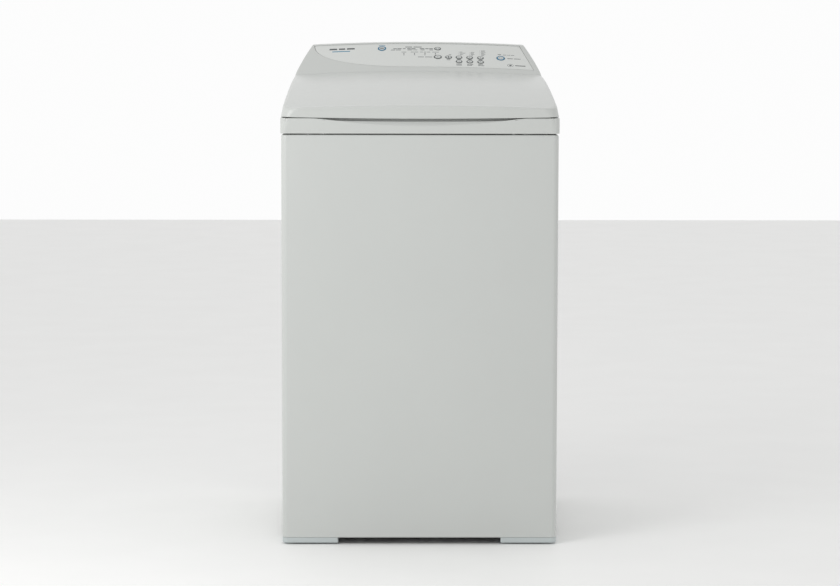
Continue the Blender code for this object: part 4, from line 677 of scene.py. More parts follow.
def make_corners():
    """Corner blocks with rounded edges, and feet whose tread and stem thread are rings round the
    stem."""
    for side_x, side_y, tag in CORNERS:
        low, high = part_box(f"corner_block_{tag}")
        foot_low, foot_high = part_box(f"levelling_foot_{tag}")
        at = ((foot_low.x + foot_high.x) / 2, (foot_low.y + foot_high.y) / 2)
        pad = (foot_high.x - foot_low.x) / 2
        top = WRAPPER_LOW.z - 0.0003
        middle = np.array([(low.x + high.x) / 2, (low.y + high.y) / 2])
        half = np.array([(high.x - low.x) / 2, (high.y - low.y) / 2])
        turn = np.radians(np.arange(0, 90.1, 10))
        corner_radius = {(1, 1): 0.012, (-1, 1): 0.003, (-1, -1): 0.003, (1, -1): 0.003}
        plan, outs = [], []
        for quarter, (sx, sy) in enumerate(((1, 1), (-1, 1), (-1, -1), (1, -1))):
            out = np.column_stack(
                [np.cos(turn + quarter * math.pi / 2), np.sin(turn + quarter * math.pi / 2)])
            bend = corner_radius[(sx * side_x, sy * side_y)]
            plan.append(middle + np.array([sx, sy]) * (half - bend) + bend * out)
            outs.append(out)
        plan, outs = np.vstack(plan), np.vstack(outs)
        edge = 0.0016
        arc = np.radians(np.linspace(90, 0, 5))
        steps = [
            (edge - edge * math.cos(a), low.z + edge - edge * math.sin(a)) for a in arc
        ] + [(0, top - 0.0005), (0.0005, top)]
        loops = [np.column_stack([plan - outs * step, np.full(len(plan), z)]) for step, z in steps]
        made = skin(f"corner_{tag}", loops, FOOT_GREY)
        boss = revolve(
            "boss", soften([(0, top - 0.002), (0.015, top - 0.002), (0.015, high.z), (0, high.z)], 0.001),
            FOOT_GREY, at, 48, closed=False)
        carve(made, [boss], "UNION")
        pocket_height = 0.0077
        pocket = revolve(
            "pocket", [(0, -0.01), (pad + 0.002, -0.01), (pad + 0.002, pocket_height), (0, pocket_height)],
            FOOT_GREY, at, 64, closed=False)
        bore = revolve(
            "bore", [(0, 0.0), (0.0053, 0.0), (0.0053, 0.1), (0, 0.1)], FOOT_GREY, at, 32, closed=False)
        carve(made, [pocket])
        carve(made, [bore])
        place(made, "cabinet", "foot_grey", f"corner_block_{tag}")
        tread = []
        for ring in (0.0045, 0.0085, 0.0125, 0.0160):
            tread += [(ring, 0), (ring + 0.0004, 0.0008), (ring + 0.0014, 0.0008), (ring + 0.0018, 0)]
        thread = []
        for z in np.arange(0.0085, foot_high.z - 0.0012, 0.0012):
            thread += [(0.0050, z), (0.0050, z + 0.0003), (0.0044, z + 0.0006), (0.0044, z + 0.0009)]
        rim = soften(
            [(pad - 0.001, 0), (pad, 0.0012), (pad, 0.0050), (pad - 0.0015, 0.0062), (0.0075, 0.0065)],
            0.0008, 3)
        profile = [
            (0, 0), *tread, *rim, (0.0050, 0.0068), (0.0050, 0.0080), *thread, (0.0044, foot_high.z),
            (0, foot_high.z)]
        shade = np.zeros(len(profile) - 1, int)
        shade[len(tread) + len(rim) + 1 :] = 1
        foot = revolve(f"foot_{tag}", profile, [RUBBER, SHAFT], at, 64, closed=False, angle=40, shade=shade)
        place(foot, f"foot_{tag}", "rubber_black", f"levelling_foot_{tag}")


# ---------------------------------------------------------------- top moulding
def deck_wall(inset):
    """Loops up the outer wall. The front columns fall back above the scoop's crease along its slope.

    inset moves every loop in by the wall's thickness for the hidden side.
    """
    plan = outline(HALF_W - inset, -HALF_D + inset, HALF_D - inset, max(0.012 - inset, 0.009), counts=COUNTS)
    x, y = plan[:, 0], plan[:, 1]
    front = np.zeros(len(plan))
    front[FRONT] = 1
    back = y > HALF_D - 0.012
    out = plan / np.array([HALF_W - inset, HALF_D - inset])
    out = np.where(np.abs(out) > 0.95, np.sign(out), 0) * np.where(front > 0, 0, 1)[:, None]
    out[:, 1] = np.where(back, out[:, 1], 0)
    out[:, 0] = np.where(back & (np.abs(y - HALF_D + inset) < 1e-6), 0, out[:, 0])
    top = rail_height(y) - inset - front * finger_gap(x)
    crease = np.minimum(LID_LINE - SCOOP_DROP * (1 - (x / SCOOP_HALF) ** 2), LID_LINE - 0.002) - inset
    crease = np.where(front > 0, crease, (DECK_BASE + top) / 2)
    if inset:
        rows = [
            (DECK_BASE + 0 * x, 0 * x), (crease, 0 * x),
            (top, front * SCOOP_SLOPE * np.clip(top - crease, 0, None))]
    else:
        foot, edge = 0.0012, 0.0012
        rows = [(DECK_BASE + 0 * x, 0 * x + foot)]
        for turn in np.radians((30, 60, 90)):
            rows.append((DECK_BASE + foot * (1 - math.cos(turn)), 0 * x + foot * (1 - math.sin(turn))))
        scoop = front * SCOOP_SLOPE * np.clip(top - crease, 0, None)
        blend_half = 0.0006
        rows.append((crease - blend_half, 0 * x))
        rows.append((crease, front * 0.25 * SCOOP_SLOPE * blend_half))
        rows.append((crease + blend_half, front * SCOOP_SLOPE * blend_half))
        rows.append((crease + (top - edge - crease) * 0.5, scoop * 0.5))
        for turn in np.radians((0, 25, 50, 72, 90)):
            rows.append((top - edge + edge * math.sin(turn), scoop + edge * (1 - math.cos(turn))))
    loops = []
    for z, step in rows:
        moved = plan - out * (step * (1 - front))[:, None]
        moved[:, 1] += front * step
        loops.append(np.column_stack([moved, z + 0 * x]))
    return loops


def make_deck():
    """Top moulding: wall, rails, the dish under the lid, the mouth's skirt, the hose recess and
    the hinge ears."""
    wall = 0.003
    mouth_half = 0.195
    mouth_front, mouth_back = -0.205, HINGE_Y - 0.012
    skirt_low = DECK_LOW.z
    inner_half, inner_front, inner_back = HALF_W - 0.012, -HALF_D + 0.028, POCKET_BACK
    rim_plan = outline(inner_half, inner_front, inner_back, 0.020, counts=COUNTS)
    rim = rail_height(rim_plan[:, 1])
    rim[BACK] = LID_LINE + RAIL_RISE
    shape = finger_gap(rim_plan[FRONT, 0]) / FINGER_GAP
    rim[FRONT] += 0.004 * shape

    def rim_loop(step, drop):
        """The opening's outline moved in by a step, at a drop below the rim."""
        plan = outline(inner_half - step, inner_front + step, inner_back - step, 0.020, counts=COUNTS)
        return np.column_stack([plan, rim - drop])

    def inner_loop(step, height, radius=0.020):
        """The opening's outline moved in by a step, at one height."""
        plan = outline(inner_half - step, inner_front + step, inner_back - step, radius, counts=COUNTS)
        return np.column_stack([plan, np.full(len(plan), height)])

    def mouth(grow, height):
        """The mouth over the basket, moved out by a growth, at one height."""
        plan = outline(mouth_half + grow, mouth_front - grow, mouth_back + grow, 0.110, counts=COUNTS)
        return np.column_stack([plan, np.full(len(plan), height)])

    def ledge(front, side, rise):
        """A loop on the ledge behind the finger gap: the front columns rise from the gap's floor
        by a share."""
        plan = outline(HALF_W - side, -HALF_D + front, HALF_D - 0.012 - side, 0.020, counts=COUNTS)
        z = rail_height(plan[:, 1])
        z[FRONT] = z[FRONT] - FINGER_GAP * shape + (FINGER_GAP + 0.004) * shape * rise
        return np.column_stack([plan, z])

    shown = deck_wall(0)
    shown += [
        ledge(0.0125, 0.0080, 0), ledge(0.0140, 0.0084, 0.06), ledge(0.0155, 0.0090, 0.90),
        ledge(0.0170, 0.0095, 1.0)]
    shown += [rim_loop(0, 0), rim_loop(0.0004, 0.0004), rim_loop(0.001, 0.002)]
    shown += [inner_loop(0.0022, DISH + 0.0015), inner_loop(0.0027, DISH + 0.0006), inner_loop(0.0040, DISH)]
    shown += [
        mouth(0.012, DISH - 0.0016), mouth(0.009, DISH - 0.0020), mouth(0.006, DISH - 0.0028),
        mouth(0.0035, DISH - 0.0042)]
    shown += [mouth(0.0015, DISH - 0.0065), mouth(0.0004, DISH - 0.0095), mouth(0, DISH - 0.013)]
    shown += [
        mouth(-0.0094, skirt_low + 0.0030), mouth(-0.0100, skirt_low + 0.0010), mouth(-0.0094, skirt_low)]
    hidden = [
        mouth(-0.0080, skirt_low), mouth(-0.0072, skirt_low + 0.001), mouth(wall, DISH - 0.014),
        mouth(0.010, DISH - 0.0045 - wall)]
    hidden += [inner_loop(0.003 - wall, DISH - wall), rim_loop(-wall, wall)]
    hidden += deck_wall(wall)[::-1]
    deck = skin("top_moulding", shown + hidden, SHELL, closed=True, angle=38)
    low, high = DECK_BASE + 0.010, LID_LINE + RAIL_RISE - 0.010
    wall_y, half = HALF_D - 0.028, 0.205
    shell = block(
        "recess_shell", (-half - wall, wall_y - wall, low - wall), (half + wall, HALF_D - 0.001, high + wall),
        SHELL, 0)
    carve(deck, [shell], "UNION")
    hollow = block("recess", (-half, wall_y, low), (half, HALF_D + 0.01, high), SHELL, 0.003)
    carve(deck, [hollow])
    ears = []
    for side in (-1, 1):
        turn = np.radians(np.linspace(-40, 180, 23))
        foot = DISH - 0.0015
        side_view = np.column_stack([HINGE_Y + 0.008 * np.cos(turn), HINGE_Z + 0.008 * np.sin(turn)])
        side_view = np.vstack([[(HINGE_Y - 0.015, foot)], side_view, [(HINGE_Y - 0.023, foot)]])
        loops = [
            np.column_stack([np.full(len(side_view), side * (EAR_MIDDLE + shift)), side_view])
            for shift in (-0.005, 0.005)]
        ear = skin(f"hinge_ear_{side}", loops, SHELL)
        round_edges(ear, 0.0008, 2)
        ears.append(ear)
    carve(deck, ears, "UNION")
    tools = []
    for side in (-1, 1):
        tools.append(
            rod(
                f"pin_hole_{side}", (side * (EAR_MIDDLE - 0.02), HINGE_Y, HINGE_Z),
                (side * (EAR_MIDDLE + 0.008), HINGE_Y, HINGE_Z), 0.0043, SHELL))
    for node, grow in (
        ("inlet_valve_hot", 0), ("inlet_valve_cold", 0), ("drain_spigot", 0), ("cord_gland", 0)):
        node_low, node_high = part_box(node)
        middle_x = (node_low.x + node_high.x) / 2
        radius = {"drain_spigot": 0.0106, "cord_gland": 0.0066}.get(node, 0.0131)
        tools.append(
            rod(
                f"hole_{node}", (middle_x, wall_y - 0.012, RECESS_MIDDLE),
                (middle_x, HALF_D + 0.01, RECESS_MIDDLE), radius, SHELL, 48))
        if "valve" in node:
            ends = (
                middle_x, POCKET_BACK - 0.02, RECESS_MIDDLE + 0.008
            ), (middle_x, POCKET_BACK + 0.02, RECESS_MIDDLE + 0.008)
            tools.append(rod(f"nozzle_{node}", *ends, 0.0076, SHELL, 32))
    carve(deck, tools, angle=38)
    place(deck, "cabinet", "shell_plastic", "top_deck")


# ---------------------------------------------------------------- lid
def leaned(lean, step, radius, back_radius=0.0065):
    """Plan of the lid where it has leaned in: x shrinks with the lean, and y moves back towards
    the middle."""
    full = outline(HALF_W - 0.0005 - step, -HALF_D + step, LID_BACK - step, radius, back_radius, COUNTS)
    share = np.clip((full[:, 1] + HALF_D) / (LID_BACK + HALF_D), 0, 1)
    return np.column_stack([full[:, 0] * (1 - lean / HALF_W), full[:, 1] + lean * 0.5 * (1 - share)])


def lid_edges(x, y):
    """Heights of the lid's lower edge and its top: the lower edge clears the rails and swings up
    behind the hinge."""
    bottom = rail_height(y) + 0.002
    bottom[FRONT] -= LIP_DROP * (1 - (x[FRONT] / HALF_W) ** 2)
    behind = np.clip(y - HINGE_Y, 0, SWING)
    bottom = np.where(y > HINGE_Y, HINGE_Z - np.sqrt(np.clip(SWING**2 - behind**2, 0, None)), bottom)
    top = lid_height(x, y)
    bottom[BACK] = top[BACK] - 0.008
    return bottom, top


def lid_loops(inside):
    """Loops up the lid's wall and in over its top. The front lip is hollowed along a half sine
    between its edges."""
    wall = 0.003 if inside else 0.0
    edge, crease = 0.0009, 0.0028
    rows = []
    if inside:
        rows += [
            (0, 0, -edge, 0, 0), (0.5, -wall * 0.5, 0, 0.006, 1), (1, -0.0055 - wall, 0, 0.012, 0),
            (1, -0.0015 - wall, 0.0015, 0.012, 0)]
    else:
        rows += [
            (0, edge * (1 - math.sin(a)), edge * (1 - math.cos(a)), 0, 0) for a in np.radians((90, 55, 25, 0))
        ]
        rows += [
            (share, 0, 0, 0.012 * share, math.sin(math.pi * share)) for share in np.linspace(0.12, 0.80, 7)]
        rows += [
            (1, -crease + crease * math.sin(a), crease * (1 - math.cos(a)), 0.012, 0)
            for a in np.radians((0, 18, 36, 54, 72, 90))]
    loops = []
    for share, rise, step, grow, hollow in rows:
        radius = 0.020 + grow
        plan = leaned(0.0, step + wall, radius - wall)
        bottom, top = lid_edges(plan[:, 0], plan[:, 1])
        z = bottom * (1 - share) + top * share + rise
        plan = leaned(SIDE_LEAN * (z - LID_LINE), step + wall, radius - wall)
        reach = np.linspace(-1, 1, COUNTS[0])
        plan[FRONT, 1] += 0.0016 * hollow * (1 - reach**8)
        loops.append(np.column_stack([plan, z]))
    middle_y = (LID_BACK - HALF_D) / 2
    last = loops[-1]
    for share in np.concatenate([[0.995, 0.985, 0.97], np.linspace(0.94, 0.06, 20), [0.015]]):
        plan = np.column_stack([last[:, 0] * share, middle_y + (last[:, 1] - middle_y) * share])
        loops.append(np.column_stack([plan, lid_height(plan[:, 0], plan[:, 1]) - wall]))
    return loops


def make_lid():
    """Lid: one shell with a hollowed front lip, two hanger plates and a lattice of ribs inside."""
    lid = skin("lid_shell", lid_loops(False)[::-1] + lid_loops(True), SHELL, angle=38)
    plates, holes = [], []
    for side in (-1, 1):
        near = side * (EAR_MIDDLE + 0.0065)
        far = near + side * 0.005
        top = float(lid_height(np.array(abs(far)), np.array(HINGE_Y))) - 0.0015
        low, high = (min(near, far), HINGE_Y - 0.010, HINGE_Z - 0.009), (max(near, far), HINGE_Y + 0.010, top)
        plates.append(block(f"hanger_{side}", low, high, SHELL, 0.0006, 2))
        ends = (near - side * 0.004, HINGE_Y, HINGE_Z), (far + side * 0.003, HINGE_Y, HINGE_Z)
        holes.append(rod(f"hanger_hole_{side}", *ends, 0.0043, SHELL))
    carve(lid, plates, "UNION", 38)
    carve(lid, holes, "DIFFERENCE", 38)
    place(lid, "lid", "shell_plastic", "lid")
    rib_x = np.linspace(-0.21, 0.21, 5)
    rib_y = np.linspace(-0.21, 0.09, 4)
    ribs = []
    for number, x in enumerate(rib_x):
        y = np.linspace(-0.235, 0.115, 25)
        ribs.append(rib(f"rib_{number}", np.full(25, x), y, 0.0009, (1, 0)))
    for number, y in enumerate(rib_y):
        x = np.linspace(-0.235, 0.235, 25)
        ribs.append(rib(f"cross_rib_{number}", x, np.full(25, y), 0.0009, (0, 1)))
    place(joined("lid_ribs", ribs), "lid", "shell_plastic")


def rib(name, x, y, half, across):
    """A thin upright strip under the lid: its top follows the lid's inside and its foot hangs
    below by 4 mm."""
    top = lid_height(x, y) - 0.0032
    foot = top - 0.0038 * smoothstep(np.minimum(np.arange(len(x)), np.arange(len(x))[::-1]) / 2.5)
    shift = np.array(across) * half
    corners = [(-1, top), (1, top), (0.7, foot - 0.0002), (-0.7, foot - 0.0002)]
    loops = np.stack([np.column_stack([x + s * shift[0], y + s * shift[1], z]) for s, z in corners], 1)
    return skin(name, loops, SHELL)


# ---------------------------------------------------------------- console
def console_section(y, top, shrink, base):
    """The console cut across at a depth: cheeks that lean in with height, a round shoulder and a
    crowned top."""
    side_top = top - CONSOLE_CROWN
    shoulder = 0.006
    up = np.clip(np.linspace(0, 1, 15), 0, 1)
    cheek_top = max(side_top - shoulder, base + 0.002)
    z = base + (cheek_top - base) * up
    cheek_x = HALF_W - cheek_inset(z) - shrink
    reach = cheek_x[-1]
    across = np.linspace(1, -1, 61)
    inner = reach - shoulder
    over_z = top - CONSOLE_CROWN * (across * inner / HALF_W) ** 2
    bend = np.linspace(0, 1, 8)[1:-1]
    start, corner, end = np.array([reach, cheek_top]), np.array(
        [reach - 0.0008, over_z[0]]
    ), np.array([inner, over_z[0]])
    arc = [(1 - t) ** 2 * start + 2 * t * (1 - t) * corner + t**2 * end for t in bend]
    right = np.vstack([np.column_stack([cheek_x, z]), arc])
    over = np.column_stack([across * inner, over_z])
    left = right[::-1] * (-1, 1)
    return np.column_stack([np.full(len(right) * 2 + 61, y), np.vstack([right, over, left])])[:, [1, 0, 2]]


def make_console():
    """Housing: sections from front to back along the face's slope, a round crest, a level strip
    and a round rear edge."""
    front, back = CONSOLE_FRONT, HALF_D
    crest = front + FACE_RUN
    slope = np.linspace(front, crest, 15)
    stations = [(y, FACE_FOOT + FACE_SLOPE * (y - front)) for y in slope]
    corner = soften(
        [
            (crest - 0.010, FACE_FOOT + FACE_SLOPE * (crest - 0.010 - front)),
        (crest + 0.0015, CREST - 0.0008), (crest + 0.0125, CREST)], 0.010, 7)
    stations = [s for s in stations if s[0] < crest - 0.011] + [tuple(c) for c in corner]
    turn = np.radians(np.linspace(0, 90, 9))
    edge = 0.0075
    stations += [(back - edge + edge * math.sin(a), CREST - 0.0003 - edge * (1 - math.cos(a))) for a in turn]
    housing = skin(
        "console_moulding", [console_section(y, top, 0, CONSOLE_BASE) for y, top in stations], SHELL, angle=38
    )
    wall = 0.004
    drop = wall * math.hypot(1, FACE_SLOPE)
    hollow = [
        (y, FACE_FOOT + FACE_SLOPE * (y - front) - drop)
        for y in np.linspace(POCKET_BACK + 0.003, crest - 0.003, 5)]
    hollow.append((back - wall, CREST - wall - 0.001))
    carve(
        housing,
        [skin("hollow", [console_section(y, top, wall, CONSOLE_BASE - 0.01) for y, top in hollow], SHELL)])
    half = HALF_W - cheek_inset(NOTCH_Z) - 0.005
    across = np.linspace(half, -half, 61)
    roof = np.column_stack([across, FACE_FOOT - 0.003 - CONSOLE_CROWN * (across / HALF_W) ** 2])
    section = np.vstack([[(-half, CONSOLE_BASE - 0.01), (half, CONSOLE_BASE - 0.01)], roof])
    pocket = skin(
        "pocket",
        [
            np.column_stack([section[:, 0], np.full(len(section), y), section[:, 1]])
        for y in (front - 0.01, POCKET_BACK)], SHELL)
    carve(housing, [pocket])
    carve(housing, [panel_plate("recess", -0.0011, -FASCIA_THICKNESS - 0.0003, 0.003)])
    carve(housing, [panel_plate("window", 0.006, -0.012, 0.003)], angle=38)
    place(housing, "cabinet", "shell_plastic", "console_housing")


def face_points(across, up, height=0.0):
    """Points on the console's face from places across and up its slope, raised along its outward
    normal."""
    across, up = np.broadcast_arrays(np.asarray(across, float), np.asarray(up, float))
    y = CONSOLE_FRONT + up / math.hypot(1, FACE_SLOPE)
    tilt = 2 * CONSOLE_CROWN * across / HALF_W**2
    normal = np.stack([tilt, np.full_like(tilt, -FACE_SLOPE), np.ones_like(tilt)], -1)
    normal /= np.linalg.norm(normal, axis=-1)[..., None]
    return np.stack([across, y, face_height(across, y)], -1) + normal * np.asarray(height)[..., None]


def panel_plate(name, inset, low, high, finish=None, edge=0.0):
    """The control panel's plate on a grid: columns across it run from its lower edge to its upper one.

    The lower edge is a superellipse at the left and level at the right; the upper edge is level,
    then slants down
    to the right. low and high are the plate's two faces above the console's face.
    """
    bottom, top = FASCIA_LOW + inset, FASCIA_HIGH - inset
    left, right_low = -(FASCIA_LEFT - inset * 1.4), FASCIA_RIGHT_LOW - inset
    slant = (FASCIA_RIGHT_LOW - FASCIA_RIGHT_HIGH) / (FASCIA_HIGH - FASCIA_LOW)
    right_high = right_low - slant * (top - FASCIA_LOW)
    bend = np.linspace(0, math.pi / 2, 41)
    x = np.concatenate(
        [
            left * np.cos(bend) ** (2 / FASCIA_ROUNDNESS), np.linspace(0, right_high, 34)[1:],
            np.linspace(right_high, right_low, 8)[1:]])
    share = np.clip(-x / -left, 0, 1)
    under = np.where(
        x < 0, top - (top - bottom) * (1 - share**FASCIA_ROUNDNESS) ** (1 / FASCIA_ROUNDNESS), bottom)
    over = np.where(x > right_high, top + (bottom - top) * (x - right_high) / (right_low - right_high), top)
    t = np.linspace(0, 1, 9)[:, None]
    up = under * (1 - t) + over * t
    grid = np.stack([face_points(x + 0 * t, up, level) for level in (low, high)])
    rows, columns = up.shape
    index = np.arange(2 * rows * columns).reshape(2, rows, columns)
    faces = []
    for level, flip in ((0, True), (1, False)):
        q = np.stack(
            [index[level, :-1, :-1], index[level, :-1, 1:], index[level, 1:, 1:], index[level, 1:, :-1]], -1)
        faces.append((q[..., ::-1] if flip else q).reshape(-1, 4))
    for row in (0, -1):
        faces.append(
            np.stack([index[0, row, :-1], index[0, row, 1:], index[1, row, 1:], index[1, row, :-1]], -1))
    made = piece(name, grid, np.vstack(faces).tolist(), finish or FASCIA, 38)
    if edge:
        round_edges(made, edge, 2, 50)
    return made


CAP_FACE = 0.00072  # how far a cap's flat middle stands off the panel
CAP_SPARE = 0.0004  # gap all round a cap in its hole
# name: place across, place up the slope, half width, half height, ring, mark
BUTTONS = {
    "power_button": (-0.0793, FACE_LENGTH - 0.0203, 0.0090, 0.0087, "blue", "window"),
    "cycle_button": (0.0425, FACE_LENGTH - 0.0215, 0.0071, 0.0058, "grey", "dots"),
    "advance_button": (0.0426, 0.0537, 0.0086, 0.0069, "grey", "dot"),
    "option_button": (0.0661, 0.0535, 0.0071, 0.0059, "grey", "bar"),
    "water_level_up_button": (0.0887, 0.0536, 0.0070, 0.0058, "grey", "up"),
    "water_level_down_button": (0.0887, 0.0380, 0.0070, 0.0058, "grey", "down"),
    "spin_speed_up_button": (0.1121, 0.0536, 0.0070, 0.0058, "grey", "up"),
    "spin_speed_down_button": (0.1121, 0.0380, 0.0070, 0.0058, "grey", "down"),
    "temperature_up_button": (0.1356, 0.0536, 0.0070, 0.0058, "grey", "up"),
    "temperature_down_button": (0.1356, 0.0380, 0.0070, 0.0058, "grey", "down"),
    "start_button": (0.1798, 0.0553, 0.0091, 0.0082, "blue", "dots"),
}


def button_loops(across, up, half_wide, half_tall, rings, sides=48):
    """Ovals stood on the face: each ring is its height above the face and its share of the cap's
    outer size."""
    turn = np.linspace(0, 2 * math.pi, sides, endpoint=False)
    share = np.array([ring[1] for ring in rings])[:, None]
    height = np.array([ring[0] for ring in rings])[:, None]
    return face_points(
        across + share * half_wide * np.cos(turn), up + share * half_tall * np.sin(turn), height)


def make_panel():
    """The control panel with a hole for each button, the caps with their printed rings, and the
    printed marks."""
    panel = panel_plate("control_panel", 0, -FASCIA_THICKNESS, 0, edge=0.0004)
    for name, (across, up, wide, tall, _, _) in BUTTONS.items():
        through = button_loops(across, up, wide + CAP_SPARE, tall + CAP_SPARE, [(-0.02, 1), (0.02, 1)])
        carve(panel, [skin(f"{name}_hole", through, FASCIA)], angle=38)
    place(panel, "cabinet", "fascia_grey", "fascia_panel")
    low = -FASCIA_THICKNESS - 0.0006
    for name, (across, up, wide, tall, ring, mark) in BUTTONS.items():
        rings = [
            (low - 0.0015, 1 + 0.001 / wide), (low, 1 + 0.001 / wide), (low + 0.0001, 1), (0.0002, 1),
            (0.00055, 0.985), (0.00078, 0.955)]
        rings += [
            (0.00088, 0.92), (0.00090, 0.74), (0.00084, 0.68), (0.00078, 0.60), (0.00074, 0.45),
            (CAP_FACE, 0.25), (CAP_FACE, 0.06)]
        band = 8 if ring == "blue" else 7
        shade = [1 if 3 <= row < band else 0 for row in range(len(rings) - 1)]
        loops = button_loops(across, up, wide, tall, rings)
        cap = skin(
            name + "_cap", loops, [CAP_GREY, RING_BLUE if ring == "blue" else RING_GREY], shade=shade,
            angle=50)
        cap = joined(name + "_cap", [cap, *mark_pieces(name, across, up, mark)])
        place(cap, name, "button_blue" if ring == "blue" else "button_grey", name)


def mark_pieces(name, across, up, mark):
    """A plain sign raised on a cap: dots, a bar or a triangle."""
    turn = np.linspace(0, 2 * math.pi, 12, False)
    round_spot = np.column_stack([np.cos(turn), np.sin(turn)])
    square_spot = np.array([(-1, -1), (1, -1), (1, 1), (-1, 1)])
    side = 1 if mark == "up" else -1
    arrow = [(-0.0014, -0.0009 * side), (0.0014, -0.0009 * side), (0, 0.0013 * side)]
    spots, corners, finish = {
        "dot": ((0,), 0.0011 * round_spot, PRINT_GREY),
        "dots": ((-0.0022, 0.0022), 0.0010 * round_spot, PRINT_GREY),
        "bar": ((0,), square_spot * (0.0012, 0.0028), PRINT_GREY),
        "window": ((0,), square_spot * (0.0042, 0.0022), PRINT_PALE),
    }.get(mark, ((0,), arrow, RING_GREY))
    return [mark_shape(f"{name}_mark_{spot}", across + spot, up, corners, CAP_FACE, finish) for spot in spots]


def mark_shape(name, across, up, corners, height, finish, thick=0.00006):
    """A thin flat mark on the face: an outline carried a hair's breadth along the normal."""
    corners = np.array(corners)
    loops = [
        face_points(across + corners[:, 0], up + corners[:, 1], level)
        for level in (height - 0.0002, height + thick)]
    return skin(name, loops, finish, merge=0)


def bar(name, left, right, up, tall, finish, words=()):
    """A printed bar from left to right at a place up the slope, broken by gaps where words are
    given as shares."""
    spans = [(0, 1)] if not words else words
    made = []
    for number, (start, end) in enumerate(spans):
        x0, x1 = left + (right - left) * start, left + (right - left) * end
        count = max(2, int((x1 - x0) / 0.01) + 1)
        xs = np.linspace(x0, x1, count)
        corners = np.concatenate(
            [
                np.column_stack([xs, np.full(count, -tall / 2)]),
                np.column_stack([xs[::-1], np.full(count, tall / 2)])])
        made.append(mark_shape(f"{name}_{number}", 0.0, up, corners, 0.0, finish))
    return made


HALF_WORDS = ((0, 0.42), (0.50, 1.0))
THREE_WORDS = ((0, 0.30), (0.37, 0.62), (0.69, 1.0))
# finish, left, right, place up the slope, height, gaps
PRINTED_BARS = (
    ("grey", -0.194, -0.139, 0.0882, 0.0052, THREE_WORDS),
    ("blue", -0.188, -0.149, 0.0790, 0.0028, ()),
    ("blue", -0.0865, -0.0720, 0.0982, 0.0016, ()),
    ("grey", -0.0280, 0.0075, 0.0912, 0.0024, HALF_WORDS),
    ("grey", -0.0542, -0.0365, 0.0850, 0.0024, HALF_WORDS),
    ("grey", -0.0338, -0.0275, 0.0850, 0.0020, ()),
    ("grey", -0.0240, -0.0060, 0.0850, 0.0024, HALF_WORDS),
    ("grey", 0.0035, 0.0138, 0.0850, 0.0024, ()),
    ("grey", 0.0158, 0.0322, 0.0850, 0.0024, HALF_WORDS),
    ("grey", -0.0597, -0.0378, 0.0803, 0.0018, HALF_WORDS),
    ("grey", -0.0236, -0.0127, 0.0803, 0.0020, ()),
    ("pale", -0.0110, -0.0020, 0.0803, 0.0018, ()),
    ("grey", 0.0050, 0.0137, 0.0803, 0.0020, ()),
    ("grey", 0.0246, 0.0322, 0.0803, 0.0020, ()),
    ("pale", -0.0365, -0.0262, 0.0722, 0.0017, ()),
    ("pale", -0.0162, -0.0002, 0.0722, 0.0017, HALF_WORDS),
    ("pale", 0.0042, 0.0262, 0.0722, 0.0017, THREE_WORDS),
    ("pale", 0.0308, 0.0452, 0.0722, 0.0017, ()),
    ("grey", -0.0006, 0.0300, 0.0537, 0.0018, HALF_WORDS),
    ("pale", 0.0665, 0.0722, 0.0640, 0.0017, ()),
    ("grey", 0.0618, 0.0700, 0.0437, 0.0018, ()),
    ("pale", 0.0906, 0.0968, 0.0742, 0.0015, ()),
    ("pale", 0.0906, 0.1032, 0.0703, 0.0015, HALF_WORDS),
    ("pale", 0.0906, 0.0985, 0.0664, 0.0015, ()),
    ("pale", 0.0906, 0.0960, 0.0630, 0.0015, ()),
    ("pale", 0.1146, 0.1224, 0.0742, 0.0015, ()),
    ("pale", 0.1146, 0.1212, 0.0703, 0.0015, ()),
    ("pale", 0.1146, 0.1228, 0.0664, 0.0015, ()),
    ("pale", 0.1146, 0.1200, 0.0630, 0.0015, ()),
    ("pale", 0.1374, 0.1464, 0.0810, 0.0015, ()),
    ("pale", 0.1374, 0.1452, 0.0774, 0.0015, ()),
    ("pale", 0.1374, 0.1473, 0.0738, 0.0015, HALF_WORDS),
    ("pale", 0.1374, 0.1446, 0.0702, 0.0015, ()),
    ("pale", 0.1374, 0.1466, 0.0666, 0.0015, ()),
    ("pale", 0.1374, 0.1440, 0.0630, 0.0015, ()),
    ("grey", 0.0842, 0.0932, 0.0458, 0.0020, ()),
    ("grey", 0.1078, 0.1166, 0.0458, 0.0020, ()),
    ("grey", 0.1310, 0.1402, 0.0458, 0.0020, ()),
    ("grey", 0.0824, 0.0950, 0.0286, 0.0018, ()),
    ("grey", 0.0828, 0.0944, 0.0246, 0.0018, ()),
    ("grey", 0.1058, 0.1190, 0.0286, 0.0018, HALF_WORDS),
    ("grey", 0.1062, 0.1170, 0.0246, 0.0018, ()),
    ("grey", 0.1300, 0.1402, 0.0286, 0.0018, ()),
    ("grey", 0.1296, 0.1436, 0.0246, 0.0018, HALF_WORDS),
    ("grey", 0.1738, 0.1812, 0.0688, 0.0020, ()),
    ("pale", 0.1852, 0.2098, 0.0682, 0.0016, THREE_WORDS),
    ("grey", 0.1945, 0.2232, 0.0553, 0.0019, HALF_WORDS),
    ("grey", 0.2106, 0.2330, 0.0298, 0.0026, ()),
)
LIGHTS_ACROSS = (-0.0313, -0.0082, 0.0147, 0.0377)
LEVEL_DOTS = (
    (0.0880, (0.0742, 0.0703, 0.0664, 0.0630)), (0.1120, (0.0742, 0.0703, 0.0664, 0.0630)),
    (0.1348, (0.0810, 0.0774, 0.0738, 0.0702, 0.0666, 0.0630)))


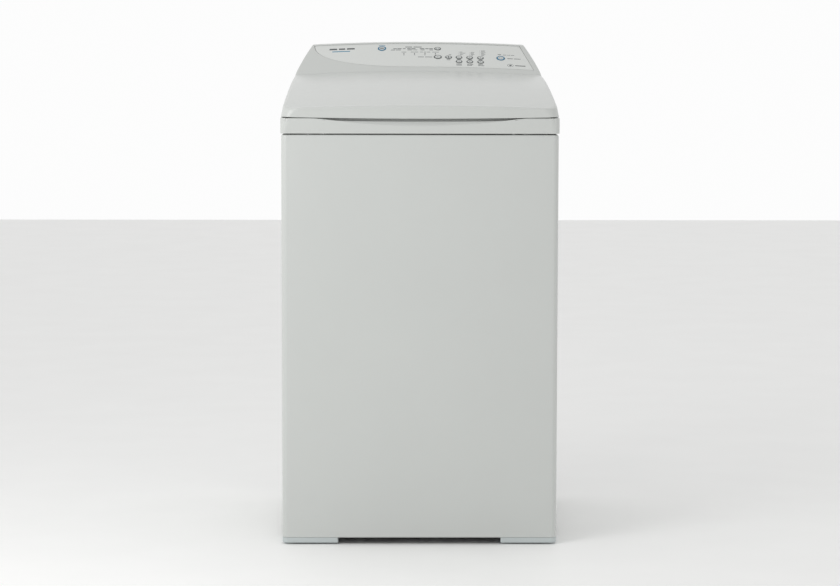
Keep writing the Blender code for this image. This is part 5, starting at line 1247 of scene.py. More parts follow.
def make_print():
    """Plain printed bars, indicator lights and a plain badge on the control panel."""
    finishes = {"grey": PRINT_GREY, "pale": PRINT_PALE, "blue": PRINT_BLUE}
    for tone, finish in finishes.items():
        made = []
        for number, (kind, left, right, up, tall, words) in enumerate(PRINTED_BARS):
            if kind == tone:
                made += bar(f"{tone}_{number}", left, right, up, tall, finish, words)
        if tone == "pale":
            for across, heights in LEVEL_DOTS:
                for up in heights:
                    made.append(
                        mark_shape("level_dot", across, up, ring_corners(0.00055, 0.00055, 8), 0.0, finish))
        if tone == "grey":
            ring = [ring_corners(0.0068, 0.0053, 40), ring_corners(0.0061, 0.0045, 40)]
            levels = [(ring[0], -0.0002), (ring[0], 0.00006), (ring[1], 0.00006), (ring[1], -0.0002)]
            loops = [face_points(0.2004 + r[:, 0], 0.0298 + r[:, 1], level) for r, level in levels]
            made.append(skin("badge_ring", loops, finish, closed=True, merge=0))
            made.append(
                mark_shape("badge_dot", 0.2004, 0.0298, ring_corners(0.0026, 0.0024, 20), 0.0, finish))
            for across in LIGHTS_ACROSS:
                made.append(
                    mark_shape(
                        "light_mark", across, 0.0628, [(-0.0017, -0.0022), (0.0017, -0.0022), (0, 0.0012)],
                        0.0, finish))
        place(joined(f"panel_print_{tone}", made), "cabinet", "fascia_grey")
    lenses = []
    for number, across in enumerate(LIGHTS_ACROSS):
        rings = [(-0.0010, 1), (0.0002, 1), (0.0006, 0.8), (0.0008, 0.4), (0.00085, 0.05)]
        lenses.append(
            skin(f"light_{number}", button_loops(across, 0.0672, 0.0013, 0.0013, rings, 20), LENS, angle=60))
    place(joined("indicator_lights", lenses), "cabinet", "fascia_grey")


def ring_corners(half_wide, half_tall, count):
    """Corners of an oval outline."""
    turn = np.linspace(0, 2 * math.pi, count, endpoint=False)
    return np.column_stack([half_wide * np.cos(turn), half_tall * np.sin(turn)])


# ---------------------------------------------------------------- tub and basket
RING_LOW, RING_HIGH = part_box("tub_ring")
BALANCE_LOW, BALANCE_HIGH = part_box("balance_ring")
WALL_LOW, WALL_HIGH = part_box("basket_wall")
BASE_LOW, BASE_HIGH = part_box("basket_base")
TUB_BOX_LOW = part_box("outer_tub")[0]
SHAFT_LOW, SHAFT_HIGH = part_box("drive_shaft")
AGITATOR_LOW, AGITATOR_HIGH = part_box("agitator")
ROTOR_LOW, ROTOR_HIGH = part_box("rotor")
TUB_OUTER = RING_HIGH.x - 0.0035
TUB_INNER = TUB_OUTER - 0.003
TUB_TOP = RING_LOW.z + 0.010
HUB_BASE = TUB_BOX_LOW.z
TUB_FLOOR = HUB_BASE + 0.037
HUB_TOP = TUB_FLOOR + 0.038
HUB_RADIUS = 0.036
SHAFT_RADIUS = 0.0125
SEAT = 0.0263  # bore of the bearing seats
WEB_Z = HUB_TOP + 0.107
STEP_UP = HUB_TOP + 0.0035
ROD_X, ROD_Y = HALF_W - 0.058, HALF_D - 0.058
ROD_FOOT, ROD_LENGTH = 0.0706, 0.228
BALANCE_OUTER = BALANCE_HIGH.x
BALANCE_INNER = BALANCE_OUTER - 0.0315


def make_tub():
    """Outer tub: a turned section whose wall swells into twelve upright ribs and three hoops, with
    four rod ears."""
    shoulder = SEAT - 0.004
    low_seat, high_seat = HUB_BASE + 0.018, HUB_TOP - 0.0295
    line = [(SEAT, HUB_BASE), (HUB_RADIUS, HUB_BASE), (HUB_RADIUS, TUB_FLOOR), (TUB_OUTER - 0.022, TUB_FLOOR)]
    corner = [(TUB_OUTER, TUB_FLOOR), (TUB_OUTER, TUB_FLOOR + 0.022)]
    rise = [(TUB_OUTER, z) for z in np.linspace(TUB_FLOOR + 0.024, TUB_TOP, 60)]
    inside = [
        (TUB_INNER, TUB_TOP), (TUB_INNER, TUB_FLOOR + 0.024), (TUB_INNER, TUB_FLOOR + 0.0045),
        (TUB_INNER - 0.020, TUB_FLOOR + 0.0045)]
    hub = [(HUB_RADIUS, TUB_FLOOR + 0.0045), (HUB_RADIUS, HUB_TOP), (SEAT, HUB_TOP), (SEAT, high_seat)]
    bore = [(shoulder, high_seat), (shoulder, low_seat), (SEAT, low_seat)]
    radius = [
        0.0006, 0.001, 0.004, 0.004, 0.018, 0.002
    ] + [0] * 60 + [0.001, 0.002, 0.017, 0.002, 0.004, 0.0015] + [0.0003] * 5
    profile = soften(line + corner + rise + inside + hub + bore, radius, 5, closed=True)
    turn = np.linspace(0, 2 * math.pi, 288, endpoint=False)
    r, z = profile[:, 0][:, None], profile[:, 1][:, None]
    outside = (r > TUB_OUTER - 0.0005) & (z > TUB_FLOOR + 0.03) & (z < TUB_TOP - 0.016)
    upright = np.clip(np.cos(12 * turn), 0, 1) ** 24 * smoothstep(
        (z - TUB_FLOOR - 0.03) / 0.02
    ) * smoothstep((TUB_TOP - 0.022 - z) / 0.02)
    hoops = sum(
        np.exp(-(((z - height) / 0.0035) ** 2)) for height in np.linspace(TUB_FLOOR + 0.15, TUB_TOP - 0.11, 3)
    )
    r = r + 0.0022 * np.maximum(upright, hoops) * outside
    loops = np.stack([r * np.cos(turn), r * np.sin(turn), z + 0 * turn], -1)
    tub = skin("tub_moulding", loops, TUB_WHITE, closed=True, angle=40)
    reach, ear_low = math.hypot(ROD_X, ROD_Y), ROD_FOOT + ROD_LENGTH
    tools = []
    for side_x, side_y, tag in CORNERS:
        turn_by = Matrix.Rotation(math.atan2(side_y * ROD_Y, side_x * ROD_X), 4, "Z")
        ear = block(
            f"ear_{tag}", (TUB_OUTER - 0.0015, -0.018, ear_low), (reach + 0.016, 0.018, ear_low + 0.012),
            TUB_WHITE, 0.003)
        ear.data.transform(turn_by)
        gusset = np.array(
            [
                (TUB_OUTER - 0.0015, ear_low + 0.006), (reach - 0.018, ear_low + 0.006),
                (TUB_OUTER + 0.008, ear_low + 0.060), (TUB_OUTER - 0.0015, ear_low + 0.060)])
        plates = []
        for shift in (-0.013, 0.0, 0.013):
            sides = [
                np.column_stack([gusset[:, 0], np.full(4, shift + half), gusset[:, 1]])
                for half in (-0.0015, 0.0015)]
            plate = skin(f"gusset_{tag}", sides, TUB_WHITE)
            plate.data.transform(turn_by)
            plates.append(plate)
        carve(tub, [ear, *plates], "UNION", 40)
        tools.append(
            rod(
                f"ear_hole_{tag}", (side_x * ROD_X, side_y * ROD_Y, ear_low - 0.01),
                (side_x * ROD_X, side_y * ROD_Y, ear_low + 0.03), 0.0046, TUB_WHITE, 24))
    carve(tub, tools, angle=40)
    place(tub, "tub", "tub_plastic", "outer_tub")
    inner = BALANCE_INNER
    ring = [
        (TUB_OUTER + 0.0003, TUB_TOP - 0.010), (TUB_OUTER + 0.0035, TUB_TOP - 0.010),
        (TUB_OUTER + 0.0035, TUB_TOP + 0.006)]
    ring += [
        (inner + 0.017, RING_HIGH.z), (inner + 0.014, RING_HIGH.z), (inner + 0.014, RING_HIGH.z - 0.0025),
        (TUB_OUTER + 0.0003, TUB_TOP + 0.001)]
    place(
        revolve("tub_cover_ring", soften(ring, 0.0008, 3, closed=True), TUB_WHITE, segments=160), "tub",
        "tub_plastic", "tub_ring")


def make_bearings():
    """Ball bearings with their races and a recessed shield, and a lip seal."""
    for node in ("lower_bearing", "upper_bearing"):
        low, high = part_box(node)
        inner, outer, dip = SHAFT_RADIUS + 0.0003, high.x, 0.0009
        half = [
            (inner, 0), (inner + 0.0028, 0), (inner + 0.0030, dip), (outer - 0.0036, dip),
            (outer - 0.0034, 0), (outer, 0)]
        profile = [(r, low.z + z) for r, z in half] + [(r, high.z - z) for r, z in half[::-1]]
        made = revolve(node + "_races", soften(profile, 0.0003, 1, closed=True), [SHAFT, ZINC], segments=72)
        place(made, "tub", "bearing_steel", node)
    low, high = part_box("shaft_seal")
    inner, outer = SHAFT_RADIUS + 0.0003, high.x
    lips = [
        (inner, low.z), (outer, low.z), (outer, high.z), (outer - 0.004, high.z),
        (outer - 0.006, high.z - 0.004)]
    lips += [
        (inner + 0.004, high.z - 0.004), (inner + 0.0015, high.z - 0.0005), (inner, high.z - 0.003),
        (inner + 0.0008, low.z + 0.005)]
    place(
        revolve("lip_seal", soften(lips, 0.0005, 2, closed=True), RUBBER, segments=72), "tub", "rubber_black",
        "shaft_seal")


def basket_radius(z):
    """The drum wall's outer radius: straight, with five pressed hoops that stand inwards."""
    hoops = sum(
        np.exp(-(((z - height) / 0.0045) ** 2))
        for height in np.linspace(WALL_LOW.z + 0.075, WALL_HIGH.z - 0.045, 6))
    return WALL_HIGH.x - 0.0018 * hoops


def make_basket():
    """Drum wall: a lattice of cells, each a ring of eight quads round an octagonal hole, alternate
    rows half a cell on."""
    columns, rows, hole, sheet = 84, 26, 0.0018, 0.001
    first, last = WALL_LOW.z + 0.045, WALL_HIGH.z - 0.012
    tall, wide = (last - first) / rows, 2 * math.pi / columns
    turn = np.linspace(0, 2 * math.pi, 8, endpoint=False)
    square = np.array([(1, 0), (1, 1), (0, 1), (-1, 1), (-1, 0), (-1, -1), (0, -1), (1, -1)]) / 2
    u = np.arange(columns) * wide
    v = first + (np.arange(rows) + 0.5) * tall
    centre_v, centre_u = np.meshgrid(v, u, indexing="ij")
    centre_u = centre_u + (np.arange(rows) % 2)[:, None] * wide / 2
    edge_u, edge_v = centre_u[..., None] + square[:, 0] * wide, centre_v[..., None] + square[:, 1] * tall
    hole_u, hole_v = centre_u[
        ..., None
    ] + np.cos(turn) * hole / WALL_HIGH.x, centre_v[..., None] + np.sin(turn) * hole
    cell_u, cell_v = np.stack(
        [edge_u, hole_u], 2
    ).reshape(-1, 2, 8), np.stack([edge_v, hole_v], 2).reshape(-1, 2, 8)

    def on_wall(angle, height, depth):
        """A place on the drum's wall: the radius at that height, less a depth, turned by the angle."""
        r = basket_radius(height) - depth
        return np.stack([r * np.cos(angle), r * np.sin(angle), height], -1)

    points = np.stack([on_wall(cell_u, cell_v, depth) for depth in (0, sheet)], 1).reshape(-1, 3)
    index = np.arange(len(points)).reshape(-1, 2, 2, 8)
    after = np.roll(index, -1, -1)
    faces = [
        np.stack([index[:, 0, 0], after[:, 0, 0], after[:, 0, 1], index[:, 0, 1]], -1).reshape(-1, 4),
        np.stack([index[:, 1, 1], after[:, 1, 1], after[:, 1, 0], index[:, 1, 0]], -1).reshape(-1, 4),
        np.stack([index[:, 0, 1], after[:, 0, 1], after[:, 1, 1], index[:, 1, 1]], -1).reshape(-1, 4),
    ]
    count = len(points)
    around = np.arange(2 * columns) * wide / 2
    bands = []
    for heights in (np.linspace(WALL_LOW.z, first, 9), np.linspace(last, WALL_HIGH.z, 5)):
        grid = np.stack(
            [on_wall(*np.broadcast_arrays(around, heights[:, None]), depth) for depth in (0, sheet)])
        place_at = count + np.arange(grid[..., 0].size).reshape(grid.shape[:3])
        count += place_at.size
        onward = np.roll(place_at, -1, 2)
        for layer, flip in ((0, 1), (1, -1)):
            quads = np.stack(
                [place_at[layer, :-1], onward[layer, :-1], onward[layer, 1:], place_at[layer, 1:]], -1)
            faces.append(quads[..., ::flip].reshape(-1, 4))
        row = 0 if heights[0] == WALL_LOW.z else -1
        faces.append(np.stack([place_at[0, row], onward[0, row], onward[1, row], place_at[1, row]], -1))
        bands.append(grid.reshape(-1, 3))
    wall = piece(
        "perforated_drum", np.vstack([points, *bands]), np.vstack(faces).tolist(), DRUM, 40, merge=2e-6)
    place(wall, "basket", "drum_steel", "basket_wall")
    edge, floor, bore = BASE_HIGH.x, BASE_LOW.z, SHAFT_RADIUS + 0.0056
    under = [
        (bore, STEP_UP), (HUB_RADIUS + 0.004, STEP_UP), (HUB_RADIUS + 0.012, floor), (edge - 0.006, floor),
        (edge, floor + 0.006)]
    over = [(edge, floor + 0.036), (edge - 0.003, floor + 0.036), (edge - 0.004, floor + 0.010)]
    over += [
        (r, floor + 0.005 + 0.005 * (r - 0.051) / (edge - 0.055))
        for r in np.linspace(edge - 0.008, HUB_RADIUS + 0.017, 26)]
    sleeve = [
        (HUB_RADIUS + 0.008, STEP_UP + 0.0035), (bore + 0.009, STEP_UP + 0.0055), (bore + 0.009, BASE_HIGH.z),
        (bore, BASE_HIGH.z)]
    radius = [
        0.0004, 0.001, 0.002, 0.004, 0.003, 0.001, 0.001, 0.003
    ] + [0] * 26 + [0.002, 0.001, 0.0006, 0.0006]
    profile = soften(under + over + sleeve, radius, 4, closed=True)
    turn = np.linspace(0, 2 * math.pi, 240, endpoint=False)
    r, z = profile[:, 0][:, None], profile[:, 1][:, None]
    floor_share = smoothstep((r - 0.066) / 0.015) * smoothstep(
        (edge - 0.020 - r) / 0.015
    ) * (z > floor + 0.003)
    z = z + 0.0016 * floor_share * np.clip(np.cos(20 * turn), 0, 1) ** 6
    base = skin(
        "drum_base", np.stack([r * np.cos(turn), r * np.sin(turn), z], -1), TUB_WHITE, closed=True, angle=40)
    place(base, "basket", "tub_plastic", "basket_base")
    low, high = BALANCE_LOW.z, BALANCE_HIGH.z
    ring = [
        (BALANCE_INNER + 0.003, low), (WALL_HIGH.x, low), (BALANCE_OUTER, low + 0.006),
        (BALANCE_OUTER, high - 0.020), (BALANCE_OUTER - 0.0008, high - 0.0195)]
    ring += [(BALANCE_OUTER - 0.0008, high - 0.0185), (BALANCE_OUTER, high - 0.018), (BALANCE_OUTER, high)]
    ring += [
        (BALANCE_INNER + 0.016, high), (BALANCE_INNER + 0.0155, high - 0.0008),
        (BALANCE_INNER + 0.0145, high - 0.0008), (BALANCE_INNER + 0.014, high)]
    ring += [(BALANCE_INNER, high), (BALANCE_INNER, low)]
    radius = [
        0.002, 0.001, 0.003, 0.0004, 0.0003, 0.0003, 0.0004, 0.007, 0.0003, 0.0003, 0.0003, 0.0003,
        0.009,
        0.004]
    place(
        revolve("balance_hoop", soften(ring, radius, 5, closed=True), TUB_WHITE, segments=192), "basket",
        "tub_plastic", "balance_ring")


def make_agitator():
    """Agitator: a hollow turned bell with four vanes, each thick at its root and rounded along its
    free edge."""
    low, top, web = AGITATOR_LOW.z, AGITATOR_HIGH.z, WEB_Z
    post, edge, wall, bore = 0.052, AGITATOR_HIGH.x, 0.003, SHAFT_RADIUS + 0.0003
    outer = [
        (edge - 0.0015, low), (edge, low + 0.0045), (edge - 0.0275, low + 0.018), (edge - 0.067, low + 0.036),
        (edge - 0.095, low + 0.066)]
    outer += [
        (post + 0.009, web + 0.028), (post, web + 0.130), (post - 0.003, top - 0.040),
        (post + 0.002, top - 0.004), (post + 0.002, top)]
    inner = [
        (post - 0.0015, top), (post - 0.0065, top - 0.040), (post - 0.0035, web + 0.130),
        (post + 0.003, web + 0.034)]
    inner += [
        (bore + 0.011, web + 0.034), (bore + 0.011, web + 0.076), (bore, web + 0.076), (bore, web),
        (post + 0.0075, web)]
    inner += [
        (edge - 0.095 - wall, low + 0.064), (edge - 0.068 - 0.5 * wall, low + 0.036 - wall),
        (edge - 0.0285, low + 0.018 - wall), (edge - 0.0045, low)]
    radius = [0.0005, 0.002, 0.014, 0.014, 0.020, 0.030, 0.040, 0.020, 0.002, 0.0008]
    radius += [0.0005, 0.012, 0.030, 0.006, 0.003, 0.001, 0.0003, 0.0003, 0.006, 0.016, 0.012, 0.010, 0.0008]
    bell = revolve(
        "agitator_bell", soften(outer + inner, radius, 6, closed=True), AGITATOR_WHITE, segments=128, angle=40
    )
    root = [(r - 0.0014, z - 0.0004) for r, z in soften(outer, radius[:10], 6)[7:-9]]
    rim = [
        (post + 0.000, top - 0.060), (post + 0.008, top - 0.075), (post + 0.022, web + 0.090),
        (post + 0.036, web + 0.010)]
    rim += [(edge - 0.030, low + 0.050), (edge - 0.006, low + 0.012), (edge - 0.005, low + 0.004)]
    rim = soften(rim, [0, 0.006, 0.030, 0.030, 0.030, 0.004, 0], 7)
    share = np.linspace(0, 1, 41)

    def spaced(line):
        """The line from its top down, cut at even shares of its length."""
        line = np.asarray(line)
        line = line if line[0, 1] > line[-1, 1] else line[::-1]
        step = np.concatenate([[0], np.cumsum(np.linalg.norm(np.diff(line, axis=0), axis=1))])
        return np.column_stack([np.interp(share, step / step[-1], line[:, axis]) for axis in (0, 1)])

    near, far = spaced(root), spaced(rim)
    out = np.concatenate([np.linspace(0, 0.86, 7), 0.86 + 0.14 * np.sin(np.radians([25, 50, 75, 90]))])
    half = np.concatenate(
        [0.0045 - 0.0020 * np.linspace(0, 1, 7) ** 0.6, 0.0025 * np.cos(np.radians([25, 50, 75, 88]))])
    across = np.concatenate([out, out[::-1]])
    thick = np.concatenate([half, -half[::-1]])
    spine = near[:, None] * (1 - across[:, None]) + far[:, None] * across[:, None]
    vanes = []
    for number in range(4):
        loops = np.stack([spine[..., 0], np.broadcast_to(thick, spine.shape[:2]), spine[..., 1]], -1)
        vane = skin(f"vane_{number}", loops, AGITATOR_WHITE, angle=50)
        vane.data.transform(Matrix.Rotation(math.radians(45 + 90 * number), 4, "Z"))
        vanes.append(vane)
    carve(bell, vanes, "UNION", 40)
    place(bell, "drive", "agitator_plastic", "agitator")
    rim_z = top + 0.0006
    cup = [
        (0, top - 0.052), (post - 0.014, top - 0.052), (post - 0.0095, top - 0.040), (post - 0.0045, rim_z),
        (post + 0.006, rim_z), (post + 0.008, rim_z + 0.010)]
    cup += [
        (post + 0.004, rim_z + 0.024), (post - 0.001, rim_z + 0.027), (post - 0.012, rim_z + 0.027),
        (post - 0.012, rim_z + 0.024)]
    cup += [
        (post - 0.007, rim_z + 0.010), (post - 0.0125, top - 0.040), (post - 0.0165, top - 0.049),
        (0, top - 0.049)]
    radius = [0, 0.004, 0.006, 0.0008, 0.0012, 0.008, 0.008, 0.003, 0.001, 0.001, 0.008, 0.006, 0.004, 0]
    made = revolve(
        "softener_dispenser", soften(cup, radius, 6), AGITATOR_WHITE, segments=128, closed=False, angle=40)
    place(made, "softener_cup", "agitator_plastic", "softener_cup")


def make_drive():
    """Motor and shaft: laminated poles, a wound coil round each neck, the magnet cup with its
    holes, and the nut."""
    low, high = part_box("stator")
    outer, inner, neck = ROTOR_HIGH.x - 0.013, 0.050, 0.088
    pitch = 2 * math.pi / 18
    steps = [
        (-0.36, outer), (-0.18, outer + 0.0001), (0, outer + 0.0001), (0.18, outer + 0.0001), (0.36, outer),
        (0.36, outer - 0.006), (0.14, outer - 0.009)]
    steps += [
        (0.14, neck), (0.32, neck - 0.001), (0.68, neck - 0.001), (0.86, neck), (0.86, outer - 0.009),
        (0.64, outer - 0.006)]
    angle = np.array([(pole + share) * pitch for pole in range(18) for share, _ in steps])
    reach = np.tile([radius for _, radius in steps], 18)
    core_low, core_high = low.z + 0.007, high.z - 0.007
    rows = [
        (reach - 0.0004, core_low), (reach, core_low + 0.0004), (reach, core_high - 0.0004),
        (reach - 0.0004, core_high)]
    rows += [(0 * reach + inner, core_high), (0 * reach + inner, core_low)]
    loops = [np.column_stack([r * np.cos(angle), r * np.sin(angle), np.full(len(angle), z)]) for r, z in rows]
    core = skin("pole_core", loops, ZINC, closed=True)
    lug_profile = [(inner, low.z), (inner + 0.010, low.z), (inner + 0.010, high.z), (inner, high.z)]
    parts = [core, revolve("core_collar", soften(lug_profile, 0.001, 3, closed=True), MODULE, segments=96)]
    turn = np.linspace(0, 2 * math.pi, 28, endpoint=False)
    square = lambda value: np.sign(value) * np.abs(value) ** 0.45
    wires = 15
    along = np.linspace(neck + 0.0015, outer - 0.0105, wires * 4 + 1)
    wave = 0.00035 * np.sin(
        np.linspace(0, wires * 2 * math.pi, wires * 4 + 1)
    ) + 0.0010 * np.sin(np.linspace(0, math.pi, wires * 4 + 1))
    middle = (low.z + high.z) / 2
    for pole in range(18):
        width = (0.0072 + 0.085 * (along - along[0]))[:, None] + wave[:, None]
        height = (high.z - low.z) / 2 - 0.0018 + wave[:, None] - 0.0004
        y, z = width * square(np.cos(turn)), middle + height * square(np.sin(turn))
        loops = np.stack([np.broadcast_to(along[:, None], y.shape), y, z], -1)
        coil_piece = skin(f"winding_{pole}", loops, COPPER, angle=50)
        coil_piece.data.transform(Matrix.Rotation(pole * pitch, 4, "Z"))
        parts.append(coil_piece)
    place(joined("stator_poles", parts), "tub", "winding_copper", "stator")

    disc, bore, rim = ROTOR_LOW.z, SHAFT_RADIUS + 0.0003, ROTOR_HIGH.x - 0.0085
    cup = [
        (bore, disc), (rim - 0.010, disc), (ROTOR_HIGH.x, disc), (ROTOR_HIGH.x, disc + 0.012),
        (ROTOR_HIGH.x, ROTOR_HIGH.z), (rim, ROTOR_HIGH.z), (rim, disc + 0.013)]
    cup += [
        (rim - 0.006, disc + 0.0065), (0.040, disc + 0.0065), (0.026, disc + 0.0065),
        (0.026, HUB_BASE - 0.006), (bore, HUB_BASE - 0.006)]
    radius = [0.0005, 0.0, 0.010, 0.002, 0.0015, 0.001, 0.003, 0.003, 0, 0.003, 0.001, 0.0005]
    rotor = revolve("magnet_cup", soften(cup, radius, 5, closed=True), [MODULE, ZINC], segments=144, angle=40)
    holes = []
    for number in range(12):
        heading = (number + 0.5) * math.pi / 6
        for distance, size in ((0.052, 0.0075), (0.088, 0.0125)):
            x, y = distance * math.cos(heading), distance * math.sin(heading)
            holes.append(rod(f"vent_{number}", (x, y, disc - 0.01), (x, y, disc + 0.012), size, MODULE, 24))
    carve(rotor, holes, angle=40)
    place(rotor, "drive", "module_black", "rotor")
    turn = np.arange(6) * math.pi / 3
    nut_low, nut_high = SHAFT_LOW.z + 0.0025, disc - 0.0002
    loops = [
        np.column_stack([size * np.cos(turn), size * np.sin(turn), np.full(6, z)])
        for size, z in ((0.0165, nut_low), (0.0175, nut_low + 0.0008), (0.0175, nut_high))]
    nut = skin("shaft_nut", loops, ZINC)
    nut_bore = rod(
        "nut_bore", (0, 0, nut_low - 0.01), (0, 0, nut_high + 0.01), SHAFT_RADIUS - 0.0027, ZINC, 32)
    place(carve(nut, [nut_bore]), "drive", "zinc_steel")
    spline = SHAFT_HIGH.z - 0.020
    profile = [
        (0, SHAFT_LOW.z), (SHAFT_RADIUS - 0.004, SHAFT_LOW.z), (SHAFT_RADIUS - 0.003, SHAFT_LOW.z + 0.001),
        (SHAFT_RADIUS - 0.003, disc), (SHAFT_RADIUS, disc + 0.001)]
    profile += [
        (SHAFT_RADIUS, spline - 0.060), (SHAFT_RADIUS, spline - 0.0590), (SHAFT_RADIUS, spline - 0.001),
        (SHAFT_RADIUS - 0.001, spline)]
    profile += [
        (SHAFT_RADIUS - 0.005, spline), (SHAFT_RADIUS - 0.005, SHAFT_HIGH.z - 0.001),
        (SHAFT_RADIUS - 0.006, SHAFT_HIGH.z), (0, SHAFT_HIGH.z)]
    profile = np.array(profile)
    turn = np.linspace(0, 2 * math.pi, 96, endpoint=False)
    toothed = ((profile[:, 1] > spline - 0.0595) & (profile[:, 0] > SHAFT_RADIUS - 0.002))[:, None]
    r = profile[:, 0][:, None] - toothed * 0.0009 * (0.5 - 0.5 * np.tanh(3 * np.cos(16 * turn)))
    loops = np.stack([r * np.cos(turn), r * np.sin(turn), profile[:, 1][:, None] + 0 * turn], -1)
    place(skin("splined_shaft", loops, SHAFT), "drive", "bearing_steel", "drive_shaft")
    low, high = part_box("float_bush")
    bore, outer = SHAFT_RADIUS + 0.0003, high.x
    sleeve = [(bore, low.z), (outer, low.z), (outer, high.z), (bore, high.z)]
    place(
        revolve("float_sleeve_bush", soften(sleeve, 0.0006, 3, closed=True), SHAFT, segments=72),
        "float_sleeve", "bearing_steel", "float_bush")


# ---------------------------------------------------------------- suspension
def make_suspension():
    """Rods with round heads and spring seats, and coil springs."""
    for _, _, tag in CORNERS:
        low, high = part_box(f"suspension_rod_{tag}")
        at = ((low.x + high.x) / 2, (low.y + high.y) / 2)
        head = high.z - 0.009
        seat = [
            (0, low.z), (0.014, low.z), (0.018, low.z + 0.004), (0.018, low.z + 0.008),
            (0.016, low.z + 0.008), (0.0155, low.z + 0.0065), (0.008, low.z + 0.0065)]
        stem = [(0.0075, low.z + 0.008), (0.0040, low.z + 0.008), (0.0040, head)]
        cap = [(0.0095, head), (0.0095, head + 0.005), (0.0055, high.z), (0, high.z)]
        radius = [0, 0.003, 0.003, 0.0008, 0.0008, 0.0008, 0.001, 0.0006, 0, 0, 0.0006, 0.003, 0.003, 0]
        made = revolve(
            f"hanger_rod_{tag}", soften(seat + stem + cap, radius, 4), WIRE, at, 40, closed=False, angle=40)
        place(made, "cabinet", "zinc_steel", f"suspension_rod_{tag}")
        low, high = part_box(f"suspension_spring_{tag}")
        wire = 0.0018
        rise = high.z - low.z - 2 * wire
        spring = coil(f"coil_spring_{tag}", at, low.z + wire, rise, 0.0125, wire * 0.97, 5.5, WIRE, 26, 10)
        place(spring, "cabinet", "zinc_steel", f"suspension_spring_{tag}")
        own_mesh(spring)


# ---------------------------------------------------------------- water and wiring
def along_y(x, y, z):
    """Carries a piece turned about Z so that its axis runs towards +Y from the point given."""
    return Matrix.Translation((x, y, z)) @ Matrix.Rotation(-math.pi / 2, 4, "X")


PUMP_LOW, PUMP_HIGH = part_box("pump_housing")
PUMP_RADIUS = 0.038
PUMP_X = (PUMP_LOW.x + PUMP_HIGH.x) / 2
PUMP_Y = PUMP_LOW.y + PUMP_RADIUS
PUMP_TOP = PUMP_HIGH.z
PUMP_FLOOR = PUMP_TOP - 0.046
HOSE_RADIUS = 0.010
DRAIN_X = sum(corner.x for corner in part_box("drain_spigot")) / 2


def make_pump():
    """Drain pump: a volute with a rolled rim, a finned motor can below, its outlet, and a
    curved-vane impeller."""
    at, can, wall = (PUMP_X, PUMP_Y), 0.026, PUMP_RADIUS - 0.0035
    line = [(0.0043, PUMP_FLOOR - 0.054), (can, PUMP_FLOOR - 0.054)]
    for z in np.linspace(PUMP_FLOOR - 0.046, PUMP_FLOOR - 0.014, 7):
        line += [(can, z - 0.0014), (can - 0.0012, z - 0.0008), (can - 0.0012, z + 0.0008), (can, z + 0.0014)]
    line += [
        (can, PUMP_FLOOR - 0.006), (PUMP_RADIUS, PUMP_FLOOR - 0.004), (PUMP_RADIUS, PUMP_TOP),
        (wall, PUMP_TOP), (wall, PUMP_FLOOR), (0.0043, PUMP_FLOOR)]
    radius = [0.0005, 0.003] + [0.0003] * 28 + [0.002, 0.003, 0.001, 0.001, 0.003, 0.0005]
    housing = revolve("pump_volute", soften(line, radius, 3, closed=True), TUB_WHITE, at, 72, angle=40)
    level = PUMP_FLOOR + 0.022
    spigot = [(0, 0), (HOSE_RADIUS, 0), (HOSE_RADIUS, 0.0192), (HOSE_RADIUS - 0.0008, 0.020), (0, 0.020)]
    carry = along_y(PUMP_X, PUMP_Y + PUMP_RADIUS - 0.0025, level)
    carve(
        housing, [revolve("outlet", spigot, TUB_WHITE, segments=32, carry=carry, closed=False)], "UNION", 40)
    carve(
        housing,
        [
            rod(
                "outlet_bore", (PUMP_X, PUMP_Y + PUMP_RADIUS - 0.0145, level),
        (PUMP_X, PUMP_Y + PUMP_RADIUS + 0.03, level), HOSE_RADIUS - 0.0025, TUB_WHITE, 32)], angle=40)
    place(housing, "tub", "tub_plastic", "pump_housing")
    hub = [
        (0, PUMP_FLOOR - 0.045), (0.0036, PUMP_FLOOR - 0.045), (0.004, PUMP_FLOOR - 0.0446),
        (0.004, PUMP_FLOOR + 0.006), (0.022, PUMP_FLOOR + 0.008)]
    hub += [
        (0.022, PUMP_FLOOR + 0.011), (0.009, PUMP_FLOOR + 0.013), (0.007, PUMP_FLOOR + 0.032),
        (0, PUMP_FLOOR + 0.032)]
    wheel = revolve(
        "impeller_hub", soften(hub, [0, 0.0002, 0.0002, 0.001, 0.001, 0.001, 0.002, 0.003, 0], 3), MODULE, at,
        48, closed=False, angle=40)
    vanes = []
    for number in range(4):
        r = np.linspace(0.004, 0.0212, 12)
        bend = 0.5 * (r / 0.0212) ** 2
        middle = np.column_stack([r * np.cos(bend), r * np.sin(bend)])
        side = np.column_stack([-np.sin(bend), np.cos(bend)]) * 0.0011
        plan = np.vstack([middle + side, (middle - side)[::-1]])
        vane = skin(
            f"impeller_vane_{number}",
            [
                np.column_stack([plan, np.full(len(plan), z)])
            for z in (PUMP_FLOOR + 0.0095, PUMP_FLOOR + 0.028)], MODULE)
        vane.data.transform(Matrix.Translation((*at, 0)) @ Matrix.Rotation(number * math.pi / 2, 4, "Z"))
        vanes.append(vane)
    place(carve(wheel, vanes, "UNION", 40), "pump_impeller", "module_black", "pump_impeller")


def smooth_route(route, count):
    """Points along a Catmull-Rom curve through the route."""
    route = np.asarray(route, float)
    ends = np.vstack([route[0] * 2 - route[1], route, route[-1] * 2 - route[-2]])
    at = np.linspace(0, len(route) - 1, count)
    index = np.minimum(at.astype(int), len(route) - 2)
    t = (at - index)[:, None]
    a, b, c, d = (ends[index + shift] for shift in range(4))
    return 0.5 * (2 * b + (c - a) * t + (2 * a - 5 * b + 4 * c - d) * t**2 + (3 * b - a - 3 * c + d) * t**3)


